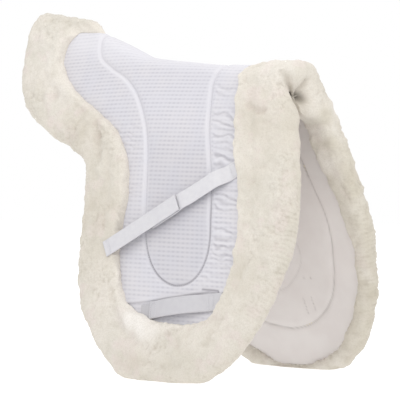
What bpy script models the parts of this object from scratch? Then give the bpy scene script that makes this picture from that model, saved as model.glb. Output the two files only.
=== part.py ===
"""Fitted hunter saddle pad: two flaps hinged along a folded spine, with a fleece rolled trim,
a waffle-knit cover, foam core, smooth lining, billet straps that part in two, and girth loops.

Each flap is modelled flat in its own frame: u runs forward along the crease, s runs down the
flap from the seam, n runs outward from the middle plane of the fold. The pad stands on the
lower edge of its two flaps. +X is towards the withers, +Y the horse's left, +Z up."""

from math import cos, radians, sin, sqrt, tan

import bmesh
import bpy
from mathutils import Matrix, Vector

MM = 0.001

# ---- driving dimensions, mm and degrees ----
LEAN = 16.5  # each flap from the vertical
NOSE_DOWN = 6.0  # the crease falls this much towards the withers
SKIN = 24.1  # n of the cover's outer face, and the arch's outer radius at the withers
TIGHT = 14.0  # the arch's outer radius at the cantle, where the fold is sharpest
COVER = (22.1, 24.1)  # n of each layer
CORE = (13.8, 21.8)
LINING = (12.0, 13.5)
FLEECE = (4.0, 36.0)
GAP = 0.3
OPEN_V = 38.5  # half of the notch that lets a flap fold out flat
CLOSE_V = 5.5  # half of the gap that lets it fold in
ROLL = 11.0  # rounding of the fleece roll's edges
EDGE_IN = 16.0  # the plates stop this far inside the fleece's outer edge
FOOT = 423.0  # depth of the standing surface below the crease's centre line
STRAP_W = 25.0

# ---- outlines of the right flap, (u, s) in mm, from the front of the seam round to the rear ----
OUTER = [
    (188, -2), (211, 40), (236, 104), (256, 170), (266, 230), (257, 300), (235, 368), (202, 411),
    (150, 440), (90, 450), (33, 447), (-27, 414), (-76, 366), (-105, 307), (-123, 236), (-132, 188),
    (-152, 151), (-189, 134), (-245, 114), (-297, 82), (-324, 42), (-331, -2),
]
WAFFLE = [
    (97, -2), (103, 30), (116, 80), (144, 145), (162, 190), (170, 240), (172, 300),
    (164, 332), (135, 357), (86, 365), (36, 360), (-8, 332), (-28, 295), (-42, 255),
    (-49, 205), (-62, 155), (-92, 112), (-140, 75), (-195, 55), (-234, 26), (-250, -2),
]
INNER = [
    (150, -2), (178, 50), (204, 110), (226, 170), (238, 235), (234, 300), (214, 360), (186, 395),
    (146, 417), (88, 425), (40, 418), (-8, 392), (-50, 350), (-78, 298), (-97, 232), (-109, 182),
    (-130, 142), (-178, 112), (-232, 92), (-276, 64), (-300, 34), (-306, -2),
]
PANEL = [
    (49, 3), (49, 38), (61, 77), (90, 150), (118, 239), (118, 280), (98, 304), (70, 309),
    (33, 292), (6, 252), (-18, 185), (-40, 115), (-72, 58), (-115, 19), (-158, 4),
]
BILLET_AT, BILLET_TO = (136.0, 128.0), (-54.0, 275.0)
GIRTH_AT, GIRTH_TO = (47.0, 347.0), (158.0, 317.6)

PALETTE = {
    "fleece": (0.79, 0.76, 0.70), "waffle_knit": (0.78, 0.77, 0.82), "lining_fabric": (0.66, 0.60, 0.58),
    "foam": (0.85, 0.80, 0.55), "wadding": (0.90, 0.90, 0.88), "webbing": (0.70, 0.69, 0.73),
    "hook_loop": (0.62, 0.61, 0.66), "thread": (0.88, 0.88, 0.90),
}
ROUGH = {"fleece": 0.95, "webbing": 0.7, "thread": 0.6}


# ---- scene set-up ----
for old in list(bpy.data.objects):
    bpy.data.objects.remove(old, do_unlink=True)
scene = bpy.context.scene


def collection(name):
    c = bpy.data.collections.get(name) or bpy.data.collections.new(name)
    if c.name not in scene.collection.children:
        scene.collection.children.link(c)
    return c


PAD = collection("hunter_saddle_pad")
CUTTERS = collection("cutters")


def material(name, kind):
    m = bpy.data.materials.new(name)
    m.use_nodes = True
    b = m.node_tree.nodes["Principled BSDF"]
    b.inputs["Base Color"].default_value = (*PALETTE[kind], 1.0)
    b.inputs["Roughness"].default_value = ROUGH.get(kind, 0.85)
    b.inputs["Metallic"].default_value = 0.0
    return m


# ---- outlines ----
def smooth_line(ctrl, step):
    """A centripetal Catmull-Rom line through the control points, with a point about every step mm."""
    p = [Vector(c) for c in ctrl]
    p = [2 * p[0] - p[1]] + p + [2 * p[-1] - p[-2]]
    fine = []
    for i in range(1, len(p) - 2):
        p0, p1, p2, p3 = p[i - 1 : i + 3]
        t0 = 0.0
        t1 = t0 + sqrt((p1 - p0).length)
        t2 = t1 + sqrt((p2 - p1).length)
        t3 = t2 + sqrt((p3 - p2).length)
        for k in range(12):
            t = t1 + (t2 - t1) * k / 12
            a1 = p0 * ((t1 - t) / (t1 - t0)) + p1 * ((t - t0) / (t1 - t0))
            a2 = p1 * ((t2 - t) / (t2 - t1)) + p2 * ((t - t1) / (t2 - t1))
            a3 = p2 * ((t3 - t) / (t3 - t2)) + p3 * ((t - t2) / (t3 - t2))
            b1 = a1 * ((t2 - t) / (t2 - t0)) + a2 * ((t - t0) / (t2 - t0))
            b2 = a2 * ((t3 - t) / (t3 - t1)) + a3 * ((t - t1) / (t3 - t1))
            fine.append(b1 * ((t2 - t) / (t2 - t1)) + b2 * ((t - t1) / (t2 - t1)))
    fine.append(p[-2])
    total = sum((b - a).length for a, b in zip(fine, fine[1:]))
    count = max(2, round(total / step))
    out, want, run = [fine[0]], total / count, 0.0
    for a, b in zip(fine, fine[1:]):
        d = (b - a).length
        while run + d >= want * len(out) - 1e-9 and len(out) < count:
            out.append(a.lerp(b, (want * len(out) - run) / d))
        run += d
    return out + [fine[-1]]


def inset(line, d):
    """The line moved d mm towards its inner side; the lines here run with their inside on the same hand."""
    out = []
    for i, p in enumerate(line):
        a, b = line[max(i - 1, 0)], line[min(i + 1, len(line) - 1)]
        t = (b - a).normalized()
        out.append(p + Vector((-t.y, t.x)) * d)
    return out


def cut_top(line, top):
    """The line below s = top, with its ends just on it."""
    keep = [i for i, p in enumerate(line) if p.y > top + 0.5]
    first, last = keep[0], keep[-1]
    a = line[first - 1].lerp(line[first], (top - line[first - 1].y) / (line[first].y - line[first - 1].y)) if first else Vector((line[0].x, top))
    b = line[last].lerp(line[last + 1], (top - line[last].y) / (line[last + 1].y - line[last].y)) if last + 1 < len(line) else Vector((line[-1].x, top))
    return [a] + [line[i] for i in keep] + [b]


def with_top(line, above=40.0):
    """The line closed over the seam, above mm past it."""
    return [Vector((line[0].x, -above))] + line + [Vector((line[-1].x, -above))]


# ---- solids ----
def from_bmesh(bm, name):
    bmesh.ops.recalc_face_normals(bm, faces=bm.faces)
    me = bpy.data.meshes.new(name)
    bm.to_mesh(me)
    bm.free()
    ob = bpy.data.objects.new(name, me)
    PAD.objects.link(ob)
    return ob


def extruded(name, points, low, high, frame=Matrix(), rounding=0.0):
    """A flat outline, made a slab from low to high along its normal, in mm, then set in its frame."""
    cu = bpy.data.curves.new(name, "CURVE")
    cu.dimensions = "2D"
    cu.fill_mode = "BOTH"
    cu.extrude = ((high - low) / 2 - rounding) * MM
    if rounding:
        cu.bevel_depth = rounding * MM
        cu.bevel_resolution = 1
        cu.offset = -rounding * MM
    sp = cu.splines.new("POLY")
    sp.points.add(len(points) - 1)
    for q, p in zip(sp.points, points):
        q.co = (p[0] * MM, p[1] * MM, 0.0, 1.0)
    sp.use_cyclic_u = True
    drawn = bpy.data.objects.new(name + "_outline", cu)
    CUTTERS.objects.link(drawn)
    me = bpy.data.meshes.new_from_object(drawn.evaluated_get(bpy.context.evaluated_depsgraph_get()))
    bpy.data.objects.remove(drawn, do_unlink=True)
    bm = bmesh.new()
    bm.from_mesh(me)
    bpy.data.meshes.remove(me)
    bmesh.ops.remove_doubles(bm, verts=bm.verts, dist=0.00001)
    bmesh.ops.dissolve_limit(bm, angle_limit=0.002, verts=bm.verts, edges=bm.edges)
    bmesh.ops.transform(bm, matrix=frame @ Matrix.Translation((0, 0, (low + high) / 2 * MM)), verts=bm.verts)
    ob = from_bmesh(bm, name)
    return ob


def lofted(name, rings):
    """A closed solid through rings of points of one count, in mm, with flat ends."""
    bm = bmesh.new()
    rows = [[bm.verts.new(Vector(p) * MM) for p in ring] for ring in rings]
    for a, b in zip(rows, rows[1:]):
        for i in range(len(a)):
            j = (i + 1) % len(a)
            bm.faces.new((a[i], a[j], b[j], b[i]))
    bm.faces.new(rows[0])
    bm.faces.new(list(reversed(rows[-1])))
    return from_bmesh(bm, name)


def carve(ob, *tools, how="DIFFERENCE"):
    """Cuts the tools out of ob and leaves them for another cut."""
    for t in tools:
        mod = ob.modifiers.new(t.name, "BOOLEAN")
        mod.operation = how
        mod.solver = "EXACT"
        mod.object = t
        dg = bpy.context.evaluated_depsgraph_get()
        me = bpy.data.meshes.new_from_object(ob.evaluated_get(dg))
        ob.modifiers.clear()
        old, ob.data = ob.data, me
        bpy.data.meshes.remove(old)
    tidy(ob)
    return ob


def tidy(ob):
    bm = bmesh.new()
    bm.from_mesh(ob.data)
    bmesh.ops.remove_doubles(bm, verts=bm.verts, dist=0.00002)
    bmesh.ops.dissolve_limit(bm, angle_limit=0.003, verts=bm.verts, edges=bm.edges)
    bmesh.ops.triangulate(bm, faces=[f for f in bm.faces if len(f.verts) > 4])
    bm.to_mesh(ob.data)
    bm.free()


def drop(*obs):
    for o in obs:
        bpy.data.objects.remove(o, do_unlink=True)


def split(ob):
    """ob's separate bodies, each a new object."""
    bm = bmesh.new()
    bm.from_mesh(ob.data)
    left, bodies = set(bm.verts), []
    while left:
        seed = next(v for v in bm.verts if v in left)
        group, stack = {seed}, [seed]
        while stack:
            for e in stack.pop().link_edges:
                for w in e.verts:
                    if w not in group:
                        group.add(w)
                        stack.append(w)
        left -= group
        bodies.append(sorted(v.index for v in group))
    bm.free()
    out = []
    for body in bodies:
        keep = set(body)
        b2 = bmesh.new()
        b2.from_mesh(ob.data)
        b2.verts.ensure_lookup_table()
        bmesh.ops.delete(b2, geom=[v for v in b2.verts if v.index not in keep], context="VERTS")
        out.append(from_bmesh(b2, ob.name + "_body"))
    drop(ob)
    return out


def middle(ob):
    c = [v.co for v in ob.data.vertices]
    return sum(c, Vector()) / len(c)


# ---- frames ----
phi, tau = radians(LEAN), radians(NOSE_DOWN)
# a flap frame takes (u, -s, n) to the pad's own straight frame, whose X axis is the crease's centre line
FLAP = Matrix(((1, 0, 0, 0), (0, sin(phi), -cos(phi), 0), (0, cos(phi), sin(phi), 0), (0, 0, 0, 1)))
TILT = Matrix.Rotation(tau, 4, "Y")
SIDE = Matrix(((1, 0, 0, 0), (0, -1, 0, 0), (0, 0, 1, 0), (0, 0, 0, 1)))  # (u, s, n) to (u, -s, n)


def flap_slab(name, line, low, high, rounding=0.0):
    return extruded(name, [(p.x, -p.y) for p in line], low, high, rounding=rounding)


def strip_frame(at, to):
    """(t, n, across) to the flap frame, with t along a strap from at to to."""
    d = Vector((to[0] - at[0], -(to[1] - at[1]), 0)).normalized()
    n = Vector((0, 0, 1))
    a = d.cross(n)
    return Matrix(((d.x, n.x, a.x, at[0] * MM), (d.y, n.y, a.y, -at[1] * MM), (d.z, n.z, a.z, 0), (0, 0, 0, 1)))


def prism(name, ns, u0, u1):
    """A polygon in (n, s) run along the crease from u0 to u1, in the flap frame."""
    m = Matrix(((0, 0, 1, 0), (0, -1, 0, 0), (1, 0, 0, 0), (0, 0, 0, 1)))  # (n, s, u) to (u, -s, n)
    return extruded(name, ns, u0, u1, frame=m)


def block(name, lo, hi):
    """A box between two corners (u, s, n) of the flap frame."""
    bm = bmesh.new()
    bmesh.ops.create_cube(bm, size=1.0)
    size = [abs(b - a) * MM for a, b in zip(lo, hi)]
    mid = [(a + b) / 2 * MM for a, b in zip(lo, hi)]
    bmesh.ops.transform(bm, matrix=Matrix.Translation((mid[0], -mid[1], mid[2])) @ Matrix.Diagonal((*size, 1.0)), verts=bm.verts)
    return from_bmesh(bm, name)


pieces = {}  # node name: (object in the flap frame or pad frame, body, kind)


def keep(ob, name, body, kind):
    ob.name = name
    ob.data.name = name
    pieces[name] = (ob, body, kind)


# ---- one flap, in the flap frame ----
outer = smooth_line(OUTER, 24.0)
waffle = smooth_line(WAFFLE, 24.0)
inner = smooth_line(INNER, 26.0)
panel = smooth_line(PANEL, 24.0)
plate_edge = inset(outer, EDGE_IN)
slot_edge = inset(outer, EDGE_IN - GAP)

keep(flap_slab("cover", cut_top(plate_edge, 0.4), *COVER), "right_outer_cover", "right_flap", "waffle_knit")
keep(flap_slab("lining", cut_top(plate_edge, 1.8), *LINING), "right_lining", "right_flap", "lining_fabric")

core = flap_slab("core", cut_top(plate_edge, 1.5), *CORE)
cushion_line = cut_top(inset(panel, 8.0), 16.0)
pocket = flap_slab("pocket", cut_top(inset(panel, 7.4), 15.4), CORE[0] - 2, CORE[1] + 2)
carve(core, pocket)
drop(pocket)
keep(core, "right_foam_core", "right_flap", "foam")
keep(flap_slab("cushion", cushion_line, *CORE), "right_panel_cushion", "right_flap", "foam")

# the fleece trim: a roll round the edge, with a slot for the plates and a pocket for its wadding
fill_out, fill_in = inset(outer, 23.0), inset(waffle, -15.0)
roll = flap_slab("roll", with_top(outer), *FLEECE, rounding=ROLL)
slot = flap_slab("slot", with_top(slot_edge, 60.0), LINING[0] - GAP, COVER[1] + GAP)
window = flap_slab("window", with_top(waffle, 60.0), 18.0, 50.0)
inside = flap_slab("inside", with_top(inner, 60.0), -10.0, 18.0)
hollow = flap_slab("hollow", with_top(fill_out, 60.0), 23.0, 29.7)
hollow_gap = flap_slab("hollow_gap", with_top(fill_in, 80.0), 15.0, 40.0)
carve(hollow, hollow_gap)
notch = prism("notch", [(SKIN, GAP), (SKIN + 32, GAP + 32 * tan(radians(OPEN_V))), (SKIN + 32, -90), (-20, -90), (-20, GAP + 44.1 * tan(radians(CLOSE_V)))], -400, 400)
floor = extruded("floor", [(-600, -200), (600, -200), (600, 200), (-600, 200)], -FOOT - 100, -FOOT, frame=FLAP.inverted() @ TILT.inverted())
split_low = block("split_low", (140, 329.75, -20), (320, 330.25, 60))
split_rear = block("split_rear", (-190, 189.75, -20), (-30, 190.25, 60))
carve(roll, slot, window, inside, hollow, notch, floor, split_low, split_rear)
for part in split(roll):
    c = middle(part)
    name = "fleece_front" if c.x > 0.12 and -c.y < 0.30 else "fleece_rear" if c.x < -0.1 and -c.y < 0.2 else "fleece_bottom"
    keep(part, "right_" + name, "right_flap", "fleece")

wadding = flap_slab("wadding", with_top(inset(fill_out, GAP), 60.0), SKIN + 0.6, 29.4)
wadding_gap = flap_slab("wadding_gap", with_top(inset(fill_in, -GAP), 80.0), 15.0, 40.0)
carve(wadding, wadding_gap, notch)
keep(wadding, "right_trim_wadding", "right_flap", "wadding")
drop(slot, window, inside, hollow, hollow_gap, wadding_gap, floor, split_low, split_rear)

# the stitched line round the padded panel
cu = bpy.data.curves.new("seam", "CURVE")
cu.dimensions = "3D"
cu.bevel_depth = 0.7 * MM
cu.bevel_resolution = 0
cu.use_fill_caps = True
sp = cu.splines.new("POLY")
sp.points.add(len(panel) - 1)
for q, p in zip(sp.points, panel):
    q.co = (p.x * MM, -p.y * MM, (SKIN + 1.1) * MM, 1.0)
drawn = bpy.data.objects.new("seam_line", cu)
CUTTERS.objects.link(drawn)
me = bpy.data.meshes.new_from_object(drawn.evaluated_get(bpy.context.evaluated_depsgraph_get()))
drop(drawn)
bm = bmesh.new()
bm.from_mesh(me)
bmesh.ops.remove_doubles(bm, verts=bm.verts, dist=0.00001)
keep(from_bmesh(bm, "seam"), "right_panel_seam", "right_flap", "thread")


# straps: profiles are (t along the strap, n), run across its width
def strap(name, frame, profile, body, kind, width=STRAP_W):
    keep(extruded(name, profile, -width / 2, width / 2, frame=frame), name, body, kind)


def stitch_box(name, frame, t0, t1, n, width=20.0):
    """A sewn rectangle of thread on a strap's end."""
    across = Matrix(((1, 0, 0, 0), (0, 0, 1, 0), (0, -1, 0, 0), (0, 0, 0, 1)))  # (t, a, n) to (t, n, -a)
    out = extruded(name, [(t0, -width / 2), (t1, -width / 2), (t1, width / 2), (t0, width / 2)], n, n + 0.6, frame=frame @ across)
    hole = extruded("hole", [(t0 + 1, 1 - width / 2), (t1 - 1, 1 - width / 2), (t1 - 1, width / 2 - 1), (t0 + 1, width / 2 - 1)], n - 3, n + 3, frame=frame @ across)
    carve(out, hole)
    drop(hole)
    keep(out, name, "right_flap", "thread")


billet = strip_frame(BILLET_AT, BILLET_TO)
STRAP_PIN, TAB_PIN = (18.15, 26.3), (225.85, 38.1)
strap("right_billet_strap_end", billet, [(5, 24.4), (18, 24.4), (18, 26.2), (5, 26.2)], "right_flap", "webbing")
strap("right_billet_strap", billet, [(18.3, 24.4), (36, 32.0), (156, 32.0), (156, 33.6), (35.4, 33.6), (18.3, 26.2)], "right_billet_strap", "webbing")
strap("right_billet_loop_patch", billet, [(108, 34.0), (154, 34.0), (154, 34.8), (108, 34.8)], "right_billet_strap", "hook_loop", 22.0)
strap("right_billet_hook_patch", billet, [(107, 35.2), (155, 35.2), (155, 36.0), (107, 36.0)], "right_billet_tab", "hook_loop", 22.0)
strap("right_billet_tab", billet, [(104, 36.4), (225.7, 36.4), (225.7, 38.0), (104, 38.0)], "right_billet_tab", "webbing")
strap("right_billet_tab_end", billet, [(226, 36.4), (240, 36.4), (240, 38.0), (226, 38.0)], "right_flap", "webbing")
stitch_box("right_billet_front_stitching", billet, 7, 16, 26.5)
stitch_box("right_billet_rear_stitching", billet, 228, 238, 38.3)

girth = strip_frame(GIRTH_AT, GIRTH_TO)
strap("right_girth_loop", girth, [(0, 25.7), (16, 25.7), (30, 32.8), (80, 32.8), (94, 24.4), (110, 24.4), (110, 26.2), (94.6, 26.2), (80.6, 34.6), (29.4, 34.6), (15.4, 27.5), (0, 27.5)], "right_flap", "webbing")
strap("right_girth_underlay", girth, [(-8, 24.4), (19, 24.4), (19, 25.4), (-8, 25.4)], "right_flap", "lining_fabric", 18.0)
stitch_box("right_girth_rear_stitching", girth, 2.5, 12.5, 27.8)
stitch_box("right_girth_front_stitching", girth, 98, 107.5, 26.5)


# ---- the spine, in the pad's straight frame ----
def arch_radius(u):
    """The arch's outer radius: wide from the withers to the seat's middle, tight at the cantle."""
    k = min(max((-95.0 - u) / 105.0, 0.0), 1.0)
    return SKIN + (TIGHT - SKIN) * k


def path_point(u, n, w, low):
    """A point of the arch's layer n. w is the angle from the crown in degrees, or beyond the arch's end
    the depth low (mm of s) on the flap's plane; negative w is the horse's right side."""
    side = -1 if w < 0 else 1
    end = 90 - LEAN
    if abs(w) <= end:
        r = arch_radius(u) - SKIN + n
        zc = (SKIN - arch_radius(u)) / sin(phi)
        return (u, r * sin(radians(w)), zc + r * cos(radians(w)))
    return (u, side * (n * cos(phi) + low * sin(phi)), n * sin(phi) - low * cos(phi))


END = 90 - LEAN
STATIONS = [-331 + EDGE_IN, -200, -165, -130, -95, 188 - EDGE_IN]


def spine_layer(name, low, high, end, kind):
    """A layer of the arch, ending end mm above the seams; 99 stands for that end, on the flap's plane."""
    rings = []
    for u in STATIONS:
        last = END if arch_radius(u) < SKIN - 0.5 else END - 14
        turn = [-99, -last, -50, -25, 0, 25, 50, last, 99]
        out = [path_point(u, high, w, -end) for w in turn]
        inn = [path_point(u, low, w, -end) for w in reversed(turn)]
        rings.append(out + inn)
    ob = lofted(name, rings)
    bm = bmesh.new()
    bm.from_mesh(ob.data)
    bmesh.ops.triangulate(bm, faces=[f for f in bm.faces if len(f.verts) == 4])
    bm.to_mesh(ob.data)
    bm.free()
    keep(ob, name, "spine", kind)


spine_layer("spine_cover", *COVER, 0.4, "waffle_knit")
spine_layer("spine_foam", *CORE, 1.5, "foam")
spine_layer("spine_lining", *LINING, 1.8, "lining_fabric")

spine_notch = prism("spine_notch", [(SKIN, -GAP), (SKIN + 34, -GAP - 34 * tan(radians(OPEN_V))), (SKIN + 34, 80), (0, 80), (0, -GAP - SKIN * tan(radians(CLOSE_V)))], -400, 400)
spine_notch.data.transform(FLAP)
other = spine_notch.copy()
other.data = spine_notch.data.copy()
other.data.transform(SIDE)
other.data.flip_normals()
PAD.objects.link(other)

ARCH = [-99, -END, -60, -45, -30, -15, 0, 15, 30, 45, 60, END, 99]


def bridge(name, profile, kind, carved=True):
    """A fleece piece over the arch: profile(k) gives its (u, n) outline, with k 1 at the crown and 0 at the seams."""
    rings = []
    for w in ARCH:
        k = 1 - min(abs(w), 90) / 90
        rings.append([path_point(u, n, w, 26.0) for u, n in profile(k)])
    ob = lofted(name, rings)
    carve(ob, spine_notch, other)
    keep(ob, name, "spine", kind)


def withers(k):
    top = FLEECE[1] + 4.0 * min(k * 2, 1)
    return [
        (98, 24.4), (98, top - 6), (104, top), (178, top), (187, top - 9), (190, 24.1), (190, 11), (184, 4.5),
        (154, 4.5), (150, 7), (150, 11.7), (172.3, 11.7), (172.3, 24.4), (169, 24.4), (169, 29.7), (112, 29.7), (112, 24.4),
    ]


def cantle(k):
    top = FLEECE[1] + 10.0 * min(k * 2, 1)
    front = -250 + 46 * min(k * 1.6, 1)
    return [
        (front, 24.4), (front, top - 8), (front - 9, top), (-318, top), (-328, top - 9), (-331, 24.1), (-331, 14), (-328, 11.7),
        (-315.3, 11.7), (-315.3, 24.4), (-311, 24.4), (-311, 29.7), (front - 15, 29.7), (front - 15, 24.4),
    ]


def withers_fill(k):
    return [(112.3, 24.7), (112.3, 29.4), (168.7, 29.4), (168.7, 24.7)]


def cantle_fill(k):
    front = -250 + 46 * min(k * 1.6, 1)
    return [(-310.7, 24.7), (-310.7, 29.4), (front - 15.3, 29.4), (front - 15.3, 24.7)]


bridge("withers_fleece", withers, "fleece")
bridge("cantle_fleece", cantle, "fleece")
bridge("withers_wadding", withers_fill, "wadding")
bridge("cantle_wadding", cantle_fill, "wadding")
drop(notch, spine_notch, other)


# ---- joints: empties on the hinge lines, then every piece in its place ----
def empty(name, parent, matrix):
    e = bpy.data.objects.new(name, None)
    e.empty_display_size = 0.03
    e.parent = parent
    PAD.objects.link(e)
    e.matrix_world = matrix
    return e


stand = empty("stand", None, TILT)
bpy.context.view_layer.update()


def local(x, y, z):
    return Matrix.Translation((x * MM, y * MM, z * MM))


for side, mirror in (("right", Matrix()), ("left", SIDE)):
    flip = side == "left"

    def pin(m):
        """A frame with no mirroring, at the matrix's place."""
        return m @ SIDE if flip and m.determinant() < 0 else m

    hinge = empty(side + "_flap_hinge", stand, pin(TILT @ mirror @ FLAP @ local(0, 0, SKIN)))
    strap_pin = empty(side + "_billet_strap_hinge", hinge, pin(TILT @ mirror @ FLAP @ billet @ local(*STRAP_PIN, 0)))
    tab_pin = empty(side + "_billet_tab_hinge", hinge, pin(TILT @ mirror @ FLAP @ billet @ local(*TAB_PIN, 0)))
    bpy.context.view_layer.update()
    parents = {"flap": hinge, "billet_strap": strap_pin, "billet_tab": tab_pin}
    for name, (ob, body, kind) in list(pieces.items()):
        if not body.startswith("right_") or not name.startswith("right_"):
            continue
        piece = ob
        if flip:
            piece = ob.copy()
            piece.data = ob.data.copy()
            piece.name = name.replace("right_", "left_")
            piece.data.name = piece.name
            PAD.objects.link(piece)
            piece.parent = None
        parent = parents[body[len("right_"):]]
        # the mesh goes to the pad's frame, then into its parent's
        base = ob.data if not flip else piece.data
        if not flip:
            flat = ob.data.copy()
            pieces[name] = (ob, body, kind)
            ob["flat"] = flat.name
            base.transform(parent.matrix_world.inverted() @ TILT @ FLAP)
        else:
            piece.data = bpy.data.meshes[ob["flat"]].copy()
            piece.data.name = piece.name
            piece.data.transform(parent.matrix_world.inverted() @ TILT @ mirror @ FLAP)
            piece.data.flip_normals()
        piece.parent = parent
        piece.matrix_parent_inverse = Matrix()
        piece.matrix_basis = Matrix()
        piece.data.materials.clear()
        piece.data.materials.append(material(piece.name, kind))

for name, (ob, body, kind) in pieces.items():
    if body == "spine":
        ob.parent = stand
        ob.matrix_basis = Matrix()
        ob.data.materials.clear()
        ob.data.materials.append(material(name, kind))
    if "flat" in ob:
        bpy.data.meshes.remove(bpy.data.meshes[ob["flat"]])
        del ob["flat"]

# the frame: the middle of the box's base
bpy.context.view_layer.update()
xs, zs = [], []
for ob in PAD.objects:
    if ob.type == "MESH":
        for v in ob.data.vertices:
            w = ob.matrix_world @ v.co
            xs.append(w.x)
            zs.append(w.z)
stand.matrix_world = Matrix.Translation((-(min(xs) + max(xs)) / 2, 0, -min(zs))) @ TILT
bpy.context.view_layer.update()
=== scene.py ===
"""Looks for the fitted hunter saddle pad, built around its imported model.

Lengths are in mm in the flap's own frame until place() puts them in the shared frame, in metres: u runs
forward along the crease, s down the flap from the seam, n outward from the middle plane of the fold."""

import math

import bmesh
import bpy
import numpy as np
from mathutils import Matrix, Vector


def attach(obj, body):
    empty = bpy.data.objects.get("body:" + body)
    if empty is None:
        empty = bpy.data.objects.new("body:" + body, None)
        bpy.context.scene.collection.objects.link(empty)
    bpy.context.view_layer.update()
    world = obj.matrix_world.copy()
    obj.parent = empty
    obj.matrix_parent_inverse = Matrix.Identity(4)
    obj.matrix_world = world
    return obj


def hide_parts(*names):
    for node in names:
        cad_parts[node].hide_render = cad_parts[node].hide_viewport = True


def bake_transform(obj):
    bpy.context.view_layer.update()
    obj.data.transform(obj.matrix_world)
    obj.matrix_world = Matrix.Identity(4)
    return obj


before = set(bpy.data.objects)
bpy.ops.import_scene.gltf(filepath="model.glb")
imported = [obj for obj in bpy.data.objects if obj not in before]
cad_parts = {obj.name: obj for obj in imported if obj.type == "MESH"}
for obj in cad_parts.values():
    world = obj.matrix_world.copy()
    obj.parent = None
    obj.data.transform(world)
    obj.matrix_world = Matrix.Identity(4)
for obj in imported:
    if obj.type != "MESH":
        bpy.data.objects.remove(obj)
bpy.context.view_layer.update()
scene = bpy.context.scene

MM = 0.001
PHI, TAU = math.radians(16.5), math.radians(6.0)
SKIN, TIGHT, BEND = 24.1, 14.0, math.radians(73.5)
STAND = np.array((0.04301, 0.0, 0.423))


# ---------------------------------------------------------------- numbers
def clamp(x, low=0.0, high=1.0):
    return np.clip(x, low, high)


def smooth(x, low=0.0, high=1.0):
    t = clamp((x - low) / (high - low))
    return t * t * (3 - 2 * t)


def dome(x):
    """A quarter circle: 0 at 0 with a steep start, 1 from 1 on."""
    return np.sqrt(np.maximum(0.0, 1 - (1 - clamp(x)) ** 2))


def lattice(i, j, k, seed):
    """A number from 0 to 1 for each whole-number cell, always the same."""
    h = i.astype(np.uint32) * np.uint32(374761393) ^ j.astype(np.uint32) * np.uint32(668265263)
    h = (h ^ k.astype(np.uint32) * np.uint32(2246822519)) + np.uint32((seed * 2654435761 + 97) & 0xFFFFFFFF)
    h = (h ^ (h >> np.uint32(15))) * np.uint32(2246822519)
    h = (h ^ (h >> np.uint32(13))) * np.uint32(3266489917)
    return ((h ^ (h >> np.uint32(16))) & np.uint32(0xFFFFFF)).astype(float) / float(0x1000000)


def noise(p, size, seed=0):
    """Gradient noise, about -1 to 1, with features about size mm across, at points p in mm."""
    q = np.asarray(p, float) / size
    base = np.floor(q).astype(np.int64)
    f = q - base
    w = f * f * f * (f * (f * 6 - 15) + 10)
    total = np.zeros(q.shape[:-1])
    for dx in (0, 1):
        for dy in (0, 1):
            for dz in (0, 1):
                i, j, k = base[..., 0] + dx, base[..., 1] + dy, base[..., 2] + dz
                dot = 0.0
                for axis, d in enumerate((dx, dy, dz)):
                    dot = dot + (lattice(i, j, k, seed * 3 + axis) * 2 - 1) * (f[..., axis] - d)
                total += dot * (w[..., 0] if dx else 1 - w[..., 0]) * (w[..., 1] if dy else 1 - w[..., 1]) * (w[..., 2] if dz else 1 - w[..., 2])
    return total * 1.7


def tufts(p, size, seed=0):
    """Rounded tufts about size mm across: 1 on top of one, 0 in the valley between."""
    q = np.asarray(p, float) / size
    base = np.floor(q).astype(np.int64)
    near = np.full(q.shape[:-1], 9.0)
    for dx in (-1, 0, 1):
        for dy in (-1, 0, 1):
            for dz in (-1, 0, 1):
                i, j, k = base[..., 0] + dx, base[..., 1] + dy, base[..., 2] + dz
                d = 0.0
                for axis, c in enumerate((i, j, k)):
                    d = d + (c + 0.15 + 0.7 * lattice(i, j, k, seed * 5 + axis + 11) - q[..., axis]) ** 2
                near = np.minimum(near, d)
    return 1 - clamp(near / 0.85)


def spline(rows, step, closed_ends=None, measure=None):
    """A centripetal Catmull-Rom line through rows of any width, resampled every step of the length that
    measure(row differences) gives. closed_ends are the two phantom rows beyond the ends."""
    p = np.asarray(rows, float)
    first, last = closed_ends if closed_ends is not None else (2 * p[0] - p[1], 2 * p[-1] - p[-2])
    p = np.vstack([first, p, last])
    size = measure or (lambda d: np.linalg.norm(d[..., :2], axis=-1))
    fine = []
    for i in range(1, len(p) - 2):
        p0, p1, p2, p3 = p[i - 1 : i + 3]
        t0 = 0.0
        t1 = t0 + max(size(p1 - p0), 1e-6) ** 0.5
        t2 = t1 + max(size(p2 - p1), 1e-6) ** 0.5
        t3 = t2 + max(size(p3 - p2), 1e-6) ** 0.5
        t = t1 + (t2 - t1) * np.arange(40)[:, None] / 40
        a1 = p0 * ((t1 - t) / (t1 - t0)) + p1 * ((t - t0) / (t1 - t0))
        a2 = p1 * ((t2 - t) / (t2 - t1)) + p2 * ((t - t1) / (t2 - t1))
        a3 = p2 * ((t3 - t) / (t3 - t2)) + p3 * ((t - t2) / (t3 - t2))
        b1 = a1 * ((t2 - t) / (t2 - t0)) + a2 * ((t - t0) / (t2 - t0))
        b2 = a2 * ((t3 - t) / (t3 - t1)) + a3 * ((t - t1) / (t3 - t1))
        fine.append(b1 * ((t2 - t) / (t2 - t1)) + b2 * ((t - t1) / (t2 - t1)))
    fine = np.vstack([*fine, p[-2]])
    run = np.concatenate([[0], np.cumsum(size(np.diff(fine, axis=0)))])
    count = max(2, int(round(run[-1] / step)))
    at = np.linspace(0, run[-1], count + 1)
    return np.stack([np.interp(at, run, fine[:, c]) for c in range(fine.shape[1])], 1)


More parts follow.
